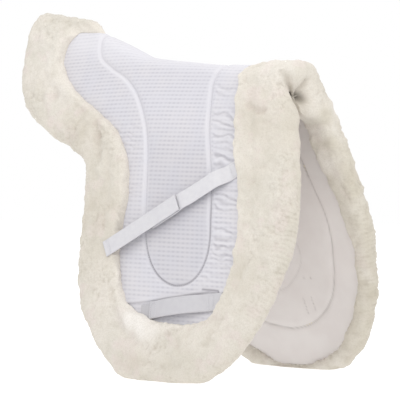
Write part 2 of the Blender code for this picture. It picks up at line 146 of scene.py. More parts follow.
def to_line(q, line):
    """(distance, which side, along) of points q from a polyline, all in mm. Side is +1 left of it."""
    q, line = np.asarray(q, float), np.asarray(line, float)
    best = np.full(q.shape[:-1], 1e9)
    side = np.ones(q.shape[:-1])
    along = np.zeros(q.shape[:-1])
    run = 0.0
    for a, b in zip(line, line[1:]):
        d = b - a
        length = float(np.hypot(*d))
        if length < 1e-9:
            continue
        t = clamp(((q - a) @ d) / length**2)
        gap = q - (a + t[..., None] * d)
        far = np.hypot(gap[..., 0], gap[..., 1])
        hit = far < best
        cross = d[0] * (q[..., 1] - a[1]) - d[1] * (q[..., 0] - a[0])
        best = np.where(hit, far, best)
        side = np.where(hit, np.where(cross >= 0, 1.0, -1.0), side)
        along = np.where(hit, run + t * length, along)
        run += length
    return best, side, along


def inside(q, line):
    """True where points q lie inside the closed polygon."""
    x, y = q[..., 0], q[..., 1]
    hit = np.zeros(x.shape, bool)
    line = np.asarray(line, float)
    for (x0, y0), (x1, y1) in zip(line, np.roll(line, -1, axis=0)):
        if y0 == y1:
            continue
        over = ((y0 > y) != (y1 > y)) & (x < (x1 - x0) * (y - y0) / (y1 - y0) + x0)
        hit ^= over
    return hit


# ---------------------------------------------------------------- the fold
def radius(u):
    return SKIN + (TIGHT - SKIN) * clamp((-95.0 - u) / 105.0)


def seam_top(u):
    """s where the arch begins."""
    return -(SKIN - radius(u)) / math.sin(PHI) * math.cos(PHI)


def crown(u):
    """s at the very top of the fold, where the two halves meet."""
    return seam_top(u) - radius(u) * BEND


def place(u, s, n, side):
    """Points of the flap's frame, in mm, in the shared frame, in metres. side is -1 for the horse's right."""
    u, s, n = np.broadcast_arrays(np.asarray(u, float), np.asarray(s, float), np.asarray(n, float))
    big = radius(u)
    zc = (SKIN - big) / math.sin(PHI)
    start = -zc * math.cos(PHI)
    w = BEND - clamp((start - s) / big, 0.0, BEND)
    r = np.maximum(big - SKIN + n, 0.5)
    flat = s >= start
    y = np.where(flat, n * math.cos(PHI) + s * math.sin(PHI), r * np.sin(w))
    z = np.where(flat, n * math.sin(PHI) - s * math.cos(PHI), zc + r * np.cos(w))
    out = np.stack([u * math.cos(TAU) + z * math.sin(TAU), side * y, -u * math.sin(TAU) + z * math.cos(TAU)], -1)
    return out * MM + STAND


def dip(u, s):
    """How far the middle of the fold has settled under its crown."""
    return 5.4 * smooth(u, -160, -70) * smooth(u, 96, 30) * smooth(-s, 1, 24)


def at_point(u, s, n, side):
    return tuple(float(v) for v in place(u, s, n, side))


# ---------------------------------------------------------------- meshes
def make(name, verts, quads, mat, bake=None, flat=None, values=None, soft=True):
    """A mesh object from plain arrays. bake and flat are one (x, y) for each corner of each face."""
    me = bpy.data.meshes.new(name)
    quads = np.asarray(quads, np.int32)
    me.vertices.add(len(verts))
    me.vertices.foreach_set("co", np.asarray(verts, np.float32).ravel())
    me.loops.add(quads.size)
    me.loops.foreach_set("vertex_index", quads.ravel())
    me.polygons.add(len(quads))
    me.polygons.foreach_set("loop_start", np.arange(0, quads.size, quads.shape[1], dtype=np.int32))
    me.polygons.foreach_set("use_smooth", np.full(len(quads), bool(soft)))
    me.update(calc_edges=True)
    if bake is not None:
        me.uv_layers.new(name="OFBake").data.foreach_set("uv", np.asarray(bake, np.float32).ravel())
    if flat is not None:
        me.uv_layers.new(name="Flat").data.foreach_set("uv", np.asarray(flat, np.float32).ravel())
    rest = me.attributes.new("rest", "FLOAT_VECTOR", "POINT")
    rest.data.foreach_set("vector", (np.asarray(verts, float) * 100).astype(np.float32).ravel())
    for key, v in (values or {}).items():
        me.attributes.new(key, "FLOAT", "POINT").data.foreach_set("value", np.asarray(v, np.float32).ravel())
    me.materials.append(mat)
    me.validate(clean_customdata=False)
    ob = bpy.data.objects.new(name, me)
    scene.collection.objects.link(ob)
    return ob


def grid_faces(rows, cols, ring=False, turn=False):
    i = np.arange(rows - 1)[:, None]
    j = np.arange(cols if ring else cols - 1)[None, :]
    k = (j + 1) % cols
    a, b, c, d = i * cols + j, i * cols + k, (i + 1) * cols + k, (i + 1) * cols + j
    out = np.stack([a, b, c, d], -1).reshape(-1, 4)
    return out[:, ::-1] if turn else out


def ring_uv(rows, cols, across, bands, turn=False):
    """A map for a long closed roll, laid in bands one above another. across is each column's place round the roll, 0 to 1."""
    i = np.arange(rows - 1)
    cut = np.linspace(0, rows - 1, bands + 1).round().astype(int)
    band = np.clip(np.searchsorted(cut, i, side="right") - 1, 0, bands - 1)
    length = (cut[band + 1] - cut[band]).astype(float)
    x0, x1 = 0.005 + 0.99 * (i - cut[band]) / length, 0.005 + 0.99 * (i + 1 - cut[band]) / length
    edge = np.concatenate([across, [1.0]])
    y = (band[:, None] + 0.02 + 0.96 * edge[None, :]) / bands
    cornered = np.zeros((rows - 1, cols, 4, 2))
    cornered[..., 0, 0] = cornered[..., 1, 0] = x0[:, None]
    cornered[..., 2, 0] = cornered[..., 3, 0] = x1[:, None]
    cornered[..., 0, 1] = cornered[..., 3, 1] = y[:, :-1]
    cornered[..., 1, 1] = cornered[..., 2, 1] = y[:, 1:]
    cornered = cornered.reshape(-1, 4, 2)
    return cornered[:, ::-1] if turn else cornered


def normals(p, ring=False):
    """Unit normals of a grid of points, by differences along its rows and columns."""
    along = np.gradient(p, axis=0)
    if ring:
        across = (np.roll(p, -1, axis=1) - np.roll(p, 1, axis=1)) / 2
    else:
        across = np.gradient(p, axis=1)
    n = np.cross(along, across)
    return n / np.maximum(np.linalg.norm(n, axis=-1, keepdims=True), 1e-12)


# ---------------------------------------------------------------- materials
def srgb(r, g, b):
    return tuple((c / 255 / 12.92) if c / 255 <= 0.04045 else ((c / 255 + 0.055) / 1.055) ** 2.4 for c in (r, g, b)) + (1.0,)


class Paint:
    """A procedural material under construction."""

    def __init__(self, name, rough=0.9, sheen=0.0, sheen_rough=0.5, spec=0.3):
        self.mat = bpy.data.materials.new(name)
        self.mat.use_nodes = True
        self.tree = self.mat.node_tree
        self.bsdf = self.tree.nodes["Principled BSDF"]
        self.bsdf.inputs["Roughness"].default_value = rough
        self.bsdf.inputs["Sheen Weight"].default_value = sheen
        self.bsdf.inputs["Sheen Roughness"].default_value = sheen_rough
        self.bsdf.inputs["Specular IOR Level"].default_value = spec

    def node(self, kind, **settings):
        n = self.tree.nodes.new(kind)
        for k, v in settings.items():
            setattr(n, k, v)
        return n

    def link(self, a, b):
        self.tree.links.new(a, b)

    def put(self, socket, value):
        if isinstance(value, bpy.types.NodeSocket):
            self.link(value, socket)
        else:
            socket.default_value = value

    def rest(self):
        return self.node("ShaderNodeAttribute", attribute_name="rest").outputs["Vector"]

    def value(self, name):
        return self.node("ShaderNodeAttribute", attribute_name=name).outputs["Fac"]

    def noise(self, where, scale, detail=2.0, rough=0.5, warp=0.0):
        n = self.node("ShaderNodeTexNoise")
        self.put(n.inputs["Vector"], where)
        n.inputs["Scale"].default_value = scale
        n.inputs["Detail"].default_value = detail
        n.inputs["Roughness"].default_value = rough
        n.inputs["Distortion"].default_value = warp
        return n.outputs["Fac"]

    def math(self, op, a, b=0.0, c=0.0, hold=False):
        n = self.node("ShaderNodeMath", operation=op, use_clamp=hold)
        for socket, v in zip(n.inputs, (a, b, c)):
            self.put(socket, v)
        return n.outputs[0]

    def fit(self, v, low, high, to_low=0.0, to_high=1.0, kind="SMOOTHSTEP"):
        n = self.node("ShaderNodeMapRange", interpolation_type=kind)
        self.put(n.inputs["Value"], v)
        for key, x in (("From Min", low), ("From Max", high), ("To Min", to_low), ("To Max", to_high)):
            n.inputs[key].default_value = x
        return n.outputs["Result"]

    def mix(self, fac, a, b, how="MIX"):
        n = self.node("ShaderNodeMix", data_type="RGBA", blend_type=how)
        self.put(n.inputs[0], fac)
        self.put(n.inputs[6], a)
        self.put(n.inputs[7], b)
        return n.outputs[2]

    def bump(self, height, strength, distance, normal=None):
        n = self.node("ShaderNodeBump")
        n.inputs["Strength"].default_value = strength
        n.inputs["Distance"].default_value = distance
        self.put(n.inputs["Height"], height)
        if normal is not None:
            self.link(normal, n.inputs["Normal"])
        return n.outputs["Normal"]

    def finish(self, color, normal=None, rough=None):
        self.put(self.bsdf.inputs["Base Color"], color)
        if normal is not None:
            self.link(normal, self.bsdf.inputs["Normal"])
        if rough is not None:
            self.put(self.bsdf.inputs["Roughness"], rough)
        return self.mat

    def flat(self, name="Flat"):
        n = self.node("ShaderNodeUVMap", uv_map=name)
        s = self.node("ShaderNodeSeparateXYZ")
        self.link(n.outputs["UV"], s.inputs[0])
        return s.outputs[0], s.outputs[1]


def fleece_material():
    m = Paint("fleece", rough=1.0, sheen=0.1, sheen_rough=0.5, spec=0.08)
    where = m.rest()
    broad = m.noise(where, 0.2, 3.0, 0.55)
    tint = m.noise(where, 0.36, 2.0)
    clumps = m.noise(where, 0.9, 3.0, 0.55)
    fine = m.noise(where, 5.5, 3.0, 0.6)
    hair = m.noise(where, 16.0, 2.0, 0.6)
    crevice_shade_level, wear_and_far_shade, rim = m.value("crevice_shade_level"), m.value("wear_and_far_shade"), m.value("rim")
    base = m.mix(m.fit(broad, 0.36, 0.62), srgb(219, 213, 204), srgb(212, 207, 197))
    base = m.mix(m.fit(tint, 0.5, 0.66, 0.0, 0.55), base, srgb(220, 208, 204))
    base = m.mix(m.fit(clumps, 0.34, 0.7, 0.0, 0.5), base, srgb(221, 216, 207))
    # darker, yellower fleece at the roll's edge and inner side: partly rubbed and grubby from use, partly painted shade
    # on the far roll
    base = m.mix(m.math("MULTIPLY", wear_and_far_shade, 0.7), base, srgb(200, 193, 177))
    # painted highlight along the fleece's lip over the cover
    base = m.mix(m.math("MULTIPLY", rim, 0.6), base, srgb(232, 226, 217))
    # painted shade: the valleys between tufts and the creases are darkened in colour
    base = m.mix(m.fit(crevice_shade_level, 0.0, 0.75, 0.36, 0.0), base, srgb(164, 154, 138))
    # soiled and cleaner spots, with painted shade and painted highlight among them
    tone_with_painted_light = m.value("tone_with_painted_light")
    base = m.mix(m.fit(tone_with_painted_light, 0.0, 1.0, 0.0, 1.0, "LINEAR"), base, srgb(186, 178, 161))
    base = m.mix(m.fit(tone_with_painted_light, 0.0, -1.0, 0.0, 1.0, "LINEAR"), base, srgb(240, 236, 232))
    # painted shade: the pit where the three lobes meet at the front of the withers is painted nearly black
    base = m.mix(m.value("hollow"), base, srgb(58, 52, 45))
    speck = m.math("MULTIPLY", m.fit(fine, 0.34, 0.6, 1.0, 0.0), 0.22)
    base = m.mix(speck, base, srgb(176, 167, 152))
    height = m.math("ADD", m.math("MULTIPLY", fine, 0.7), m.math("MULTIPLY", hair, 0.3))
    return m.finish(base, m.bump(height, 0.6, 0.0012))


def waffle_material():
    m = Paint("waffle_knit", rough=0.9, sheen=0.06, spec=0.2)
    # the map counts the knit's cells: columns along u, rows along s
    column, line = m.flat()
    where = m.rest()
    cu = m.math("ADD", m.math("MULTIPLY", m.math("COSINE", m.math("MULTIPLY", column, 2 * math.pi)), 0.5), 0.5)
    cs = m.math("ADD", m.math("MULTIPLY", m.math("COSINE", m.math("MULTIPLY", line, 2 * math.pi)), 0.5), 0.5)
    dots = m.math("MULTIPLY", m.math("POWER", cs, 1.5), m.math("ADD", m.math("MULTIPLY", cu, 0.55), 0.45))
    grain = m.noise(where, 9.0, 2.0)
    fade = m.fit(m.noise(where, 0.6, 2.0), 0.3, 0.62, 0.6, 1.0)
    dots = m.math("MULTIPLY", m.math("MULTIPLY", dots, fade), m.value("knit"))
    wash = m.noise(where, 0.22, 2.0)
    base = m.mix(m.fit(wash, 0.35, 0.65), srgb(208, 207, 213), srgb(211, 209, 213))
    base = m.mix(m.math("MULTIPLY", dots, 0.55), base, srgb(172, 170, 180))
    # painted highlight on the turned band by the seam, the crests of the gathers and the crown
    base = m.mix(m.math("MULTIPLY", m.value("painted_highlight"), 0.75), base, srgb(222, 221, 226))
    # painted shade in seams, gather valleys and under the hem, and a painted shadow along the slit
    base = m.mix(m.value("painted_shade_and_marks"), base, srgb(120, 116, 124))
    height = m.math("ADD", m.math("MULTIPLY", dots, -0.8), m.math("MULTIPLY", grain, 0.35))
    return m.finish(base, m.bump(height, 0.4, 0.0009))


def webbing_material():
    m = Paint("webbing", rough=0.8, sheen=0.03, spec=0.2)
    t, a = m.flat()
    where = m.rest()
    rib = m.math("SINE", m.math("MULTIPLY", a, 2 * math.pi / 0.14))
    weft = m.math("SINE", m.math("ADD", m.math("MULTIPLY", t, 2 * math.pi / 0.16), m.math("MULTIPLY", rib, 0.9)))
    weave = m.math("MULTIPLY", m.math("ADD", rib, 1.0), m.math("ADD", weft, 1.0))
    grain = m.noise(where, 1.3, 3.0)
    base = m.mix(m.fit(grain, 0.3, 0.7), srgb(214, 213, 217), srgb(220, 219, 222))
    base = m.mix(m.fit(weave, 0.2, 2.2, 0.14, 0.0), base, srgb(170, 169, 176))
    # painted shade: the webbing greyed where it faces away from the light
    base = m.mix(m.value("painted_strap_shade"), base, srgb(176, 174, 178))
    return m.finish(base, m.bump(weave, 0.22, 0.0004))


def lining_material():
    m = Paint("lining_fabric", rough=0.7, sheen=0.15, spec=0.3)
    u, s = m.flat()
    where = m.rest()
    warp = m.math("SINE", m.math("MULTIPLY", m.math("ADD", u, s), 2 * math.pi / 0.11))
    weft = m.math("SINE", m.math("MULTIPLY", m.math("SUBTRACT", u, s), 2 * math.pi / 0.11))
    cloth = m.math("MULTIPLY", warp, weft)
    soil = m.noise(where, 0.3, 3.0)
    base = m.mix(m.fit(soil, 0.3, 0.7), srgb(218, 212, 209), srgb(222, 217, 214))
    # painted shade under the withers and along the U seam, with the stitch rows and dots
    base = m.mix(m.value("painted_shade_and_marks"), base, srgb(120, 112, 108))
    return m.finish(base, m.bump(m.math("ADD", m.math("MULTIPLY", cloth, 0.4), m.math("MULTIPLY", soil, 0.6)), 0.18, 0.0006))


def thread_material():
    m = Paint("thread", rough=0.55, sheen=0.05, spec=0.4)
    where = m.rest()
    twist = m.noise(where, 22.0, 2.0, 0.6, 0.5)
    base = m.mix(m.fit(twist, 0.35, 0.65), srgb(196, 196, 201), srgb(226, 226, 230))
    return m.finish(base, m.bump(twist, 0.3, 0.0003))


def hook_loop_material():
    m = Paint("hook_loop", rough=0.85, sheen=0.1, spec=0.3)
    where = m.rest()
    loops = m.noise(where, 11.0, 4.0, 0.7, 1.2)
    base = m.mix(m.fit(loops, 0.35, 0.65), srgb(170, 169, 176), srgb(216, 216, 221))
    return m.finish(base, m.bump(loops, 0.8, 0.0009))


def foam_material():
    m = Paint("foam", rough=0.9, spec=0.2)
    where = m.node("ShaderNodeTexCoord").outputs["Object"]
    pores = m.noise(where, 900.0, 3.0, 0.7)
    base = m.mix(m.fit(pores, 0.4, 0.6), srgb(214, 203, 160), srgb(238, 229, 190))
    return m.finish(base, m.bump(pores, 0.6, 0.0006))


def wadding_material():
    m = Paint("wadding", rough=1.0, sheen=0.3, spec=0.1)
    where = m.node("ShaderNodeTexCoord").outputs["Object"]
    fibres = m.noise(where, 420.0, 4.0, 0.75, 1.5)
    base = m.mix(m.fit(fibres, 0.35, 0.65), srgb(208, 202, 190), srgb(230, 225, 215))
    return m.finish(base, m.bump(fibres, 0.7, 0.0010))


FLEECE, WAFFLE, WEBBING, LINING = fleece_material(), waffle_material(), webbing_material(), lining_material()
THREAD, HOOKS, FOAM, WADDING = thread_material(), hook_loop_material(), foam_material(), wadding_material()

SIDES = (("right", -1), ("left", 1))


def bend_flap(ob, side):
    """Bakes the piece's placement into its mesh."""
    d = np.array((0.0, side * 0.8, -0.6))
    tilt = np.array(((math.cos(TAU), 0, math.sin(TAU)), (0, 1, 0), (-math.sin(TAU), 0, math.cos(TAU))))
    d = tilt @ d
    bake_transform(ob)


# ---------------------------------------------------------------- the fleece roll
# stations round the flap: outer edge, edge over the cover, edge over the lining, each (u, s)
ROLL = [
    (193, -30.9, 98, -30.9, 154, -30.9), (192.5, -16, 97.5, -16, 152, -16),
    (190, -2, 97, -2, 150, -2), (211, 40, 102.5, 36, 175, 44), (236, 104, 119.5, 97, 203, 107),
    (256, 170, 147.5, 160, 226, 168), (266, 230, 169, 228, 238, 232), (257, 300, 172, 290, 234, 296),
    (235, 368, 162, 334, 212, 358), (202, 411, 144, 347, 184, 394), (150, 440, 121, 355, 144, 416),
    (90, 450, 87, 359, 88, 425), (33, 446, 46, 356, 42, 418), (-25, 413, 5, 342, -5, 393),
    (-75, 365, -20, 312, -48, 350), (-104, 306, -37, 270, -77, 298), (-122, 236, -46, 225, -96, 233),
    (-132, 188, -51, 185, -107, 186), (-152, 151, -66, 145, -127, 143), (-189, 134, -106, 98, -173, 113),
    (-245, 114, -180, 62, -230, 92), (-297, 82, -222, 38, -276, 64), (-324, 42, -242, 17, -300, 34),
    (-329.5, -2, -251, -2, -306, -2), (-327, -18, -250, -19, -306, -18), (-325, -31, -241, -34, -303, -31),
    (-323, -40, -234, -42.5, -301, -40), (-321.5, -45.5, -213, -45.5, -300, -45.5), (-320, -49.5, -197, -47.2, -300, -49.5),
    (-319, -52.1, -191, -50.1, -300, -52.1),
]
# how far each side's own front edge and lining edge stand from the table's, row by row from the withers
OWN = {
    -1: ([0, -8, -10, -8, -6, -6, -7, -8, -10, -11, -7, -2], [0, 0, 0, 0, 0, 0, 0, 0, -2, -2, 0, 0]),
    1: ([0, 3, 8, 6, 5, 5, 4, 8, 9, 8, 2], [0, 1, 0, -3, -8, -3, 4, 7, 6, 6, 4]),
}
# soft folds pressed into the roll: (points, depth, width)
FOLDS = [
    ([(-236, 58), (-205, 68), (-180, 76), (-150, 84), (-130, 104), (-120, 139)], 3.0, 7.0),
    ([(-22, 330), (-11, 350), (5, 369), (26, 385), (53, 396), (77, 401), (99, 394)], 4.0, 6.5),
    ([(103, 372), (120, 364), (140, 358), (151, 349)], 2.6, 4.2),
    ([(66, 420), (103, 421), (138, 415)], 2.0, 5.0),
    ([(170, 378), (180, 356), (187, 338)], 2.2, 4.5),
    ([(135, 43), (150, 49), (162, 47)], 3.4, 5.6),
    ([(-302, 53), (-280, 66), (-262, 70)], 2.0, 6.0),
    ([(-131, 112), (-119, 133), (-115, 156)], 2.2, 6.0),
    ([(-122, 164), (-108, 173), (-92, 180)], 1.6, 5.0),
    ([(-286, -42), (-268, -47), (-248, -49)], 2.4, 4.5),
    ([(-83, 130), (-65, 173), (-53, 216)], 1.2, 3.4),
]


# where the fleece is a little soiled or cleaner than the rest, and painted shade where it turns away from the light and
# painted highlight where it turns up towards it: (u, s, how wide, how much)
SOIL_AND_PAINTED_LIGHT = {
    -1: [
        (-165, 112, 38, 0.36), (-118, 165, 34, 0.08), (-88, 222, 40, 0.42), (-66, 288, 36, 0.2), (-34, 345, 34, -0.04),
        (50, 420, 30, 0.3), (130, 420, 44, 0.16), (150, 60, 34, 0.3), (196, 92, 30, 0.14), (200, 270, 34, 0.24),
        (174, 146, 20, 0.2), (-270, 4, 30, -0.25), (-232, 56, 26, -0.22), (58, 378, 26, -0.65), (22, 364, 20, -0.5),
        (194, 24, 15, 0.15), (207, 60, 17, 0.18), (160, -24, 26, -0.3), (20, 330, 30, -0.2),
    ],
    1: [(206, 60, 36, -0.22), (190, 330, 70, 0.22), (238, 300, 60, 0.18), (-165, 112, 38, 0.3), (-88, 222, 40, 0.3)],
}


def billet_uv(t, a=0.0):
    """A point t mm along the billet strap and a mm across it, in (u, s)."""
    d = np.array((-190.0, 147.0)) / math.hypot(190, 147)
    return 136 + d[0] * t - d[1] * a, 128 + d[1] * t + d[0] * a


def roll_rows(side):
    rows = np.array(ROLL, float)
    for column, own in zip((0, 4), OWN[side]):
        rows[: len(own), column] += own

    def back(row, end):
        out = row.copy()
        out[1::2] = 2 * end[1::2] - out[1::2]
        return out

    ends = (back(rows[1], rows[0]), back(rows[-2], rows[-1]))
    if side > 0:
        # the far roll reaches a little lower towards its front corner
        rows[9:12, 5] += (0, 4, 6)

    def size(d):
        return 0.5 * (np.hypot(d[..., 0], d[..., 1]) + np.hypot(d[..., 2], d[..., 3]))

    return spline(rows, 1.75, ends, size)


STATIONS = {side: roll_rows(side) for _, side in SIDES}
OUT_N, IN_N = 66, 32
# where the three lobes of the fleece meet at the front of the withers, as (across, up) from the middle of the fold
MEET = (
    ([(-27, 20), (-17, 2), (-9, -10), (-7, -18)], 4.0, 3.2),
    ([(2, 11), (-5, 0), (-8, -9), (-7, -18)], 4.0, 3.2),
    ([(-7, -18), (-6, -31), (-4, -47)], 2.6, 2.8),
)


SEAM = {}


def meeting(s):
    """How far to the right of the middle the two rolls press on each other at the withers."""
    return smooth(s, 0, 24) * clamp(13 - 0.19 * s, 0, 8)


def sag(across, up, u):
    """How far the core of the fold's front sinks down and to the right, as (across, up)."""
    g = np.exp(-(across**2 + up**2) / 20.0**2) * smooth(u, 164, 178)
    return -8.0 * g, -13.0 * g


def section(row, near_seam, wave, fringe, side, ridge):
    """One ring of the roll: (u, s, n) round it, from the edge over the cover, over the top, round to the lining.
    ridge is 1 on the crown of the fold and 0 down the flap."""
    o, w, l = row[0:2], row[2:4], row[4:6]
    wide, deep = np.hypot(*(w - o)), np.hypot(*(l - o))
    span = wide + wave
    t = 0.5 - 0.5 * np.cos(np.pi * np.linspace(0, 1, 260))
    x = t * span
    low = 20 + (3.2 + 1.5 * ridge) * t
    top = 37.3 + 1.4 * np.sin(np.pi * t) - 1.7 * np.exp(-(((x - 0.66 * span) / 7) ** 2))
    rear = o[0] < 0
    fall = np.sin(np.pi / 2 * clamp((span - x) / (46.0 if rear else 46.0))) ** (1.1 if rear else 1.0)
    n = low + (top - low) * dome(x / (19 - (9 if rear else 5) * ridge)) * (dome((span - x) / 10) * (1 - ridge) + fall * ridge)
    us = o + (w - o) * (x / wide)[:, None]
    outer = np.column_stack([us, n])[::-1]
    x = t * (deep + fringe)
    gap = 4.4
    if near_seam is not None:
        touch = -math.tan(PHI) * near_seam - side * float(meeting(row[1])) / math.cos(PHI) - 1.2
        gap = gap + (touch - gap) * float(smooth(near_seam, 64, 32) if side < 0 else smooth(near_seam, 50, 27))
        gap = gap + (0.6 - gap) * float(smooth(row[1], 4, -8))
    n = 20 - (20 - gap) * dome(x / 17)
    close = dome((deep + fringe - x) / 9)
    n = 12.4 + (n - 12.4) * close if gap < 12.4 else n
    n = np.where(x < 8, 20 - (20 - gap) * dome(x / 17), n)
    us = o + (l - o) * (x / deep)[:, None]
    inner = np.column_stack([us, n])[1:]

    def even(p, count):
        run = np.concatenate([[0], np.cumsum(np.linalg.norm(np.diff(p, axis=0), axis=1))])
        at = np.linspace(0, run[-1], count)
        return np.stack([np.interp(at, run, p[:, c]) for c in range(3)], 1)

    outer = even(outer, OUT_N)
    inner = even(np.vstack([outer[-1:], inner]), IN_N + 1)[1:]

    def hidden(x, base, width, n):
        p = o + (base - o) * (x / width)
        return [p[0], p[1], n]

    back = [
        hidden(deep + fringe - 1.0, l, deep, 11.7), hidden(17, l, deep, 11.6), hidden(17, w, wide, 24.4),
        hidden(span - 12, w, wide, 24.4), hidden(span - 3, w, wide, 23.6 + 0.5 * ridge),
    ]
    return np.vstack([outer, inner, back])


def fleece_roll(name, side):
    stations = STATIONS[side]
    run = np.concatenate([[0], np.cumsum(np.hypot(np.diff(stations[:, 0]), np.diff(stations[:, 1])))])
    line = np.stack([run, np.zeros_like(run), np.full_like(run, 40.0 * side)], -1)
    wave = 1.8 * noise(line, 26, 3) + 1.2 * noise(line, 11, 4)
    fringe = 1.9 * noise(line, 12, 5) + 1.2 * noise(line, 5.5, 6)
    rings = []
    for i, row in enumerate(stations):
        s = row[1]
        near = float(max(s, 0.0)) if row[0] > 100 and s < 90 else None
        edge = float(smooth(min(i, len(stations) - 1 - i), 0, 12))
        ridge = float(smooth(-s, -6, 24)) if row[0] > 0 else float(smooth(-s, 8, 42))
        rings.append(section(row, near, wave[i] * edge, fringe[i] * edge, side, ridge))
    g = np.array(rings)
    rows, cols = g.shape[:2]
    visible = OUT_N + IN_N
    u, s, n = g[..., 0], g[..., 1], g[..., 2]
    q = g[..., :2]
    # pressed folds, and the dip under the billet's sewn end
    top = np.zeros((rows, cols))
    top[:, :OUT_N] = smooth(n[:, :OUT_N], 24, 34)
    push = np.zeros((rows, cols))
    for points, depth, width in FOLDS:
        d, _, along = to_line(q, points)
        push += depth * np.exp(-((d / width) ** 2)) * (1.0 if side < 0 else 1 - 0.25 * smooth(s, -20, 20))
    n = n - push * top
    # crown of the bridges: fuller over the top, as the fleece is folded there
    over = smooth(-s, -6, 22)
    n = n + top * over * np.where(u > 0, -2.0 + 2.5 * smooth(u, 165, 185), 6.0 + 2.5 * np.exp(-(((u + 306) / 12) ** 2)))
    if side > 0:
        n = n + top * 3.5 * (u > 90) * smooth(s, -28, 0) * (1 - 0.6 * smooth(s, 90, 160))
        n = n + top * 1.6 * smooth(u, 140, 170) * np.exp(-(((s + 4) / 12) ** 2))
    pu, ps = billet_uv(231.0)
    d = np.hypot(u - pu, s - ps)
    limit = 35.7 + 3.2 * smooth(d, 15, 34)
    n = np.where((top > 0) & (d < 34), np.minimum(n, limit), n)
    p = place(u, s, n, side)
    nv = normals(p, ring=True) * (1 if side < 0 else -1)
    for i in (0, -1):
        nv[i, :, 1] = 0
        nv[i] /= np.maximum(np.linalg.norm(nv[i], axis=-1, keepdims=True), 1e-9)
    rel = (p - STAND) / MM
    across, up = rel[..., 1], rel[..., 0] * math.sin(TAU) + rel[..., 2] * math.cos(TAU)
    da, du = sag(across, up, u)
    across, up = across + da, up + du
    facing = smooth(nv[..., 0], -0.05, 0.5) * smooth(u, 140, 165) * smooth(s, 90, 60)
    sink = np.zeros((rows, cols))
    for points, depth, width in MEET:
        far, _, _ = to_line(np.stack([across, up], -1), points)
        sink = np.maximum(sink, depth * np.exp(-((far / width) ** 2)) + 2.2 * np.exp(-((far / 9.0) ** 2)))
    pit = np.exp(-(((across + 6) / 5.5) ** 2) - ((up + 13) / 7.0) ** 2) * facing
    sink = sink * facing + 4.0 * pit
    q3 = p / MM
    big = noise(q3, 52, 1) * 1.8 + noise(q3, 25, 2) * 1.3
    lean = q3 + np.stack([noise(q3, 14, 7), noise(q3, 14, 8), noise(q3, 14, 9)], -1) * 2.6
    clump = noise(lean, 13.5, 3)
    tuft = 0.7 * noise(lean, 6.2, 5) + 0.5 * (2.2 * np.abs(noise(lean, 8.0, 6)) - 0.7)
    curl = noise(lean, 3.4, 10)
    patch_of = smooth(noise(q3, 60, 13), 0.0, 0.45)
    j = np.arange(cols)[None, :]
    # creases along the front edge, where the roll turns
    reach = np.hypot(u - stations[:, None, 0], s - stations[:, None, 1])
    beat = (run[:, None] + 3.0 * noise(q3, 17, 14)) / 6.4
    crease = (0.5 + 0.5 * np.cos(2 * np.pi * beat)) ** 3 * np.exp(-((reach / 24) ** 2)) * smooth(u, 120, 190) * smooth(s, 120, 200) * smooth(s, 400, 330)
    rise = big + (1.7 + 0.4 * patch_of) * clump + (0.75 + 0.6 * patch_of) * tuft + (0.35 + 0.4 * patch_of) * curl - 1.0 * crease
    seen = np.zeros(cols)
    seen[:visible] = 1
    seen[0] = seen[visible - 1] = 0.3
    seen[1] = seen[visible - 2] = 0.7
    pressed = 1 - 0.65 * smooth(34 - d, 0, 12) * (top > 0)
    rise = rise * seen[None, :] * pressed
    # the inner lobes press on each other at the withers, so they swell less there
    flatter = np.ones((rows, cols))
    flatter[:, OUT_N:] = 0.7
    flatter = np.where((j >= OUT_N) & (u > 110) & (s < 60), 0.7 - 0.55 * smooth(np.abs(n - 0.5), 12, 5), flatter)
    # a thin lip over the cover stays smooth
    flatter = np.where((j < OUT_N) & (reach > 17), flatter * clamp((n - 24.4) / 6, 0.15, 1), flatter)
    far_side = 1.0 if side > 0 else 0.0
    rise = rise + far_side * smooth(s, -4, 26) * (1.4 * noise(q3, 21, 17) + 0.5 * clump) * seen[None, :]
    # grooves and the hollow between the lobes go straight back along the fold, and stop before its foam
    ahead = np.array((math.cos(TAU), 0.0, -math.sin(TAU)))
    p = p + nv * (rise * flatter * MM)[..., None] - ahead * (sink * MM)[..., None]
    lack = 175.0 - (p - STAND) @ ahead / MM
    p = p + ahead * (np.where((u > 175.2) & (s < 70), np.maximum(lack, 0), 0) * MM)[..., None]
    p[..., 2] = np.where(p[..., 2] < 0.004, 0.0006 + 0.0034 * np.exp(np.minimum(p[..., 2] - 0.004, 0) / 0.004), p[..., 2])
    for i in (0, -1):
        p[i, :, 1] = 0.0
    bound = -side * meeting(s) * MM * (u > 100)
    bound[0] = bound[-1] = 0.0
    p[..., 1] = side * np.maximum(side * p[..., 1], bound)
    rel = (p - STAND) / MM
    da, du = sag(rel[..., 1], rel[..., 0] * math.sin(TAU) + rel[..., 2] * math.cos(TAU), rel[..., 0] * math.cos(TAU) - rel[..., 2] * math.sin(TAU))
    p = p + np.stack([du * math.sin(TAU), da, du * math.cos(TAU)], -1) * MM
    # both rolls share their end rings, where they meet on the crown
    for i, step in ((0, 1), (-1, -1)):
        lead = SEAM.setdefault(i, p[i].copy()) - p[i]
        for k in range(8):
            p[i + k * step] += lead * (1 - float(smooth(k / 8)))
    # tuft height, lowered in the sink, the creases and the pressed folds; it drives painted shade in those valleys and
    # creases
    crevice_shade_level = 0.66 + (0.18 + 0.16 * far_side) * clump + (0.15 + 0.18 * patch_of) * tuft + (0.13 + 0.2 * patch_of) * curl
    crevice_shade_level = clamp(crevice_shade_level - 0.10 * sink - 0.25 * crease - 0.06 * push * top)
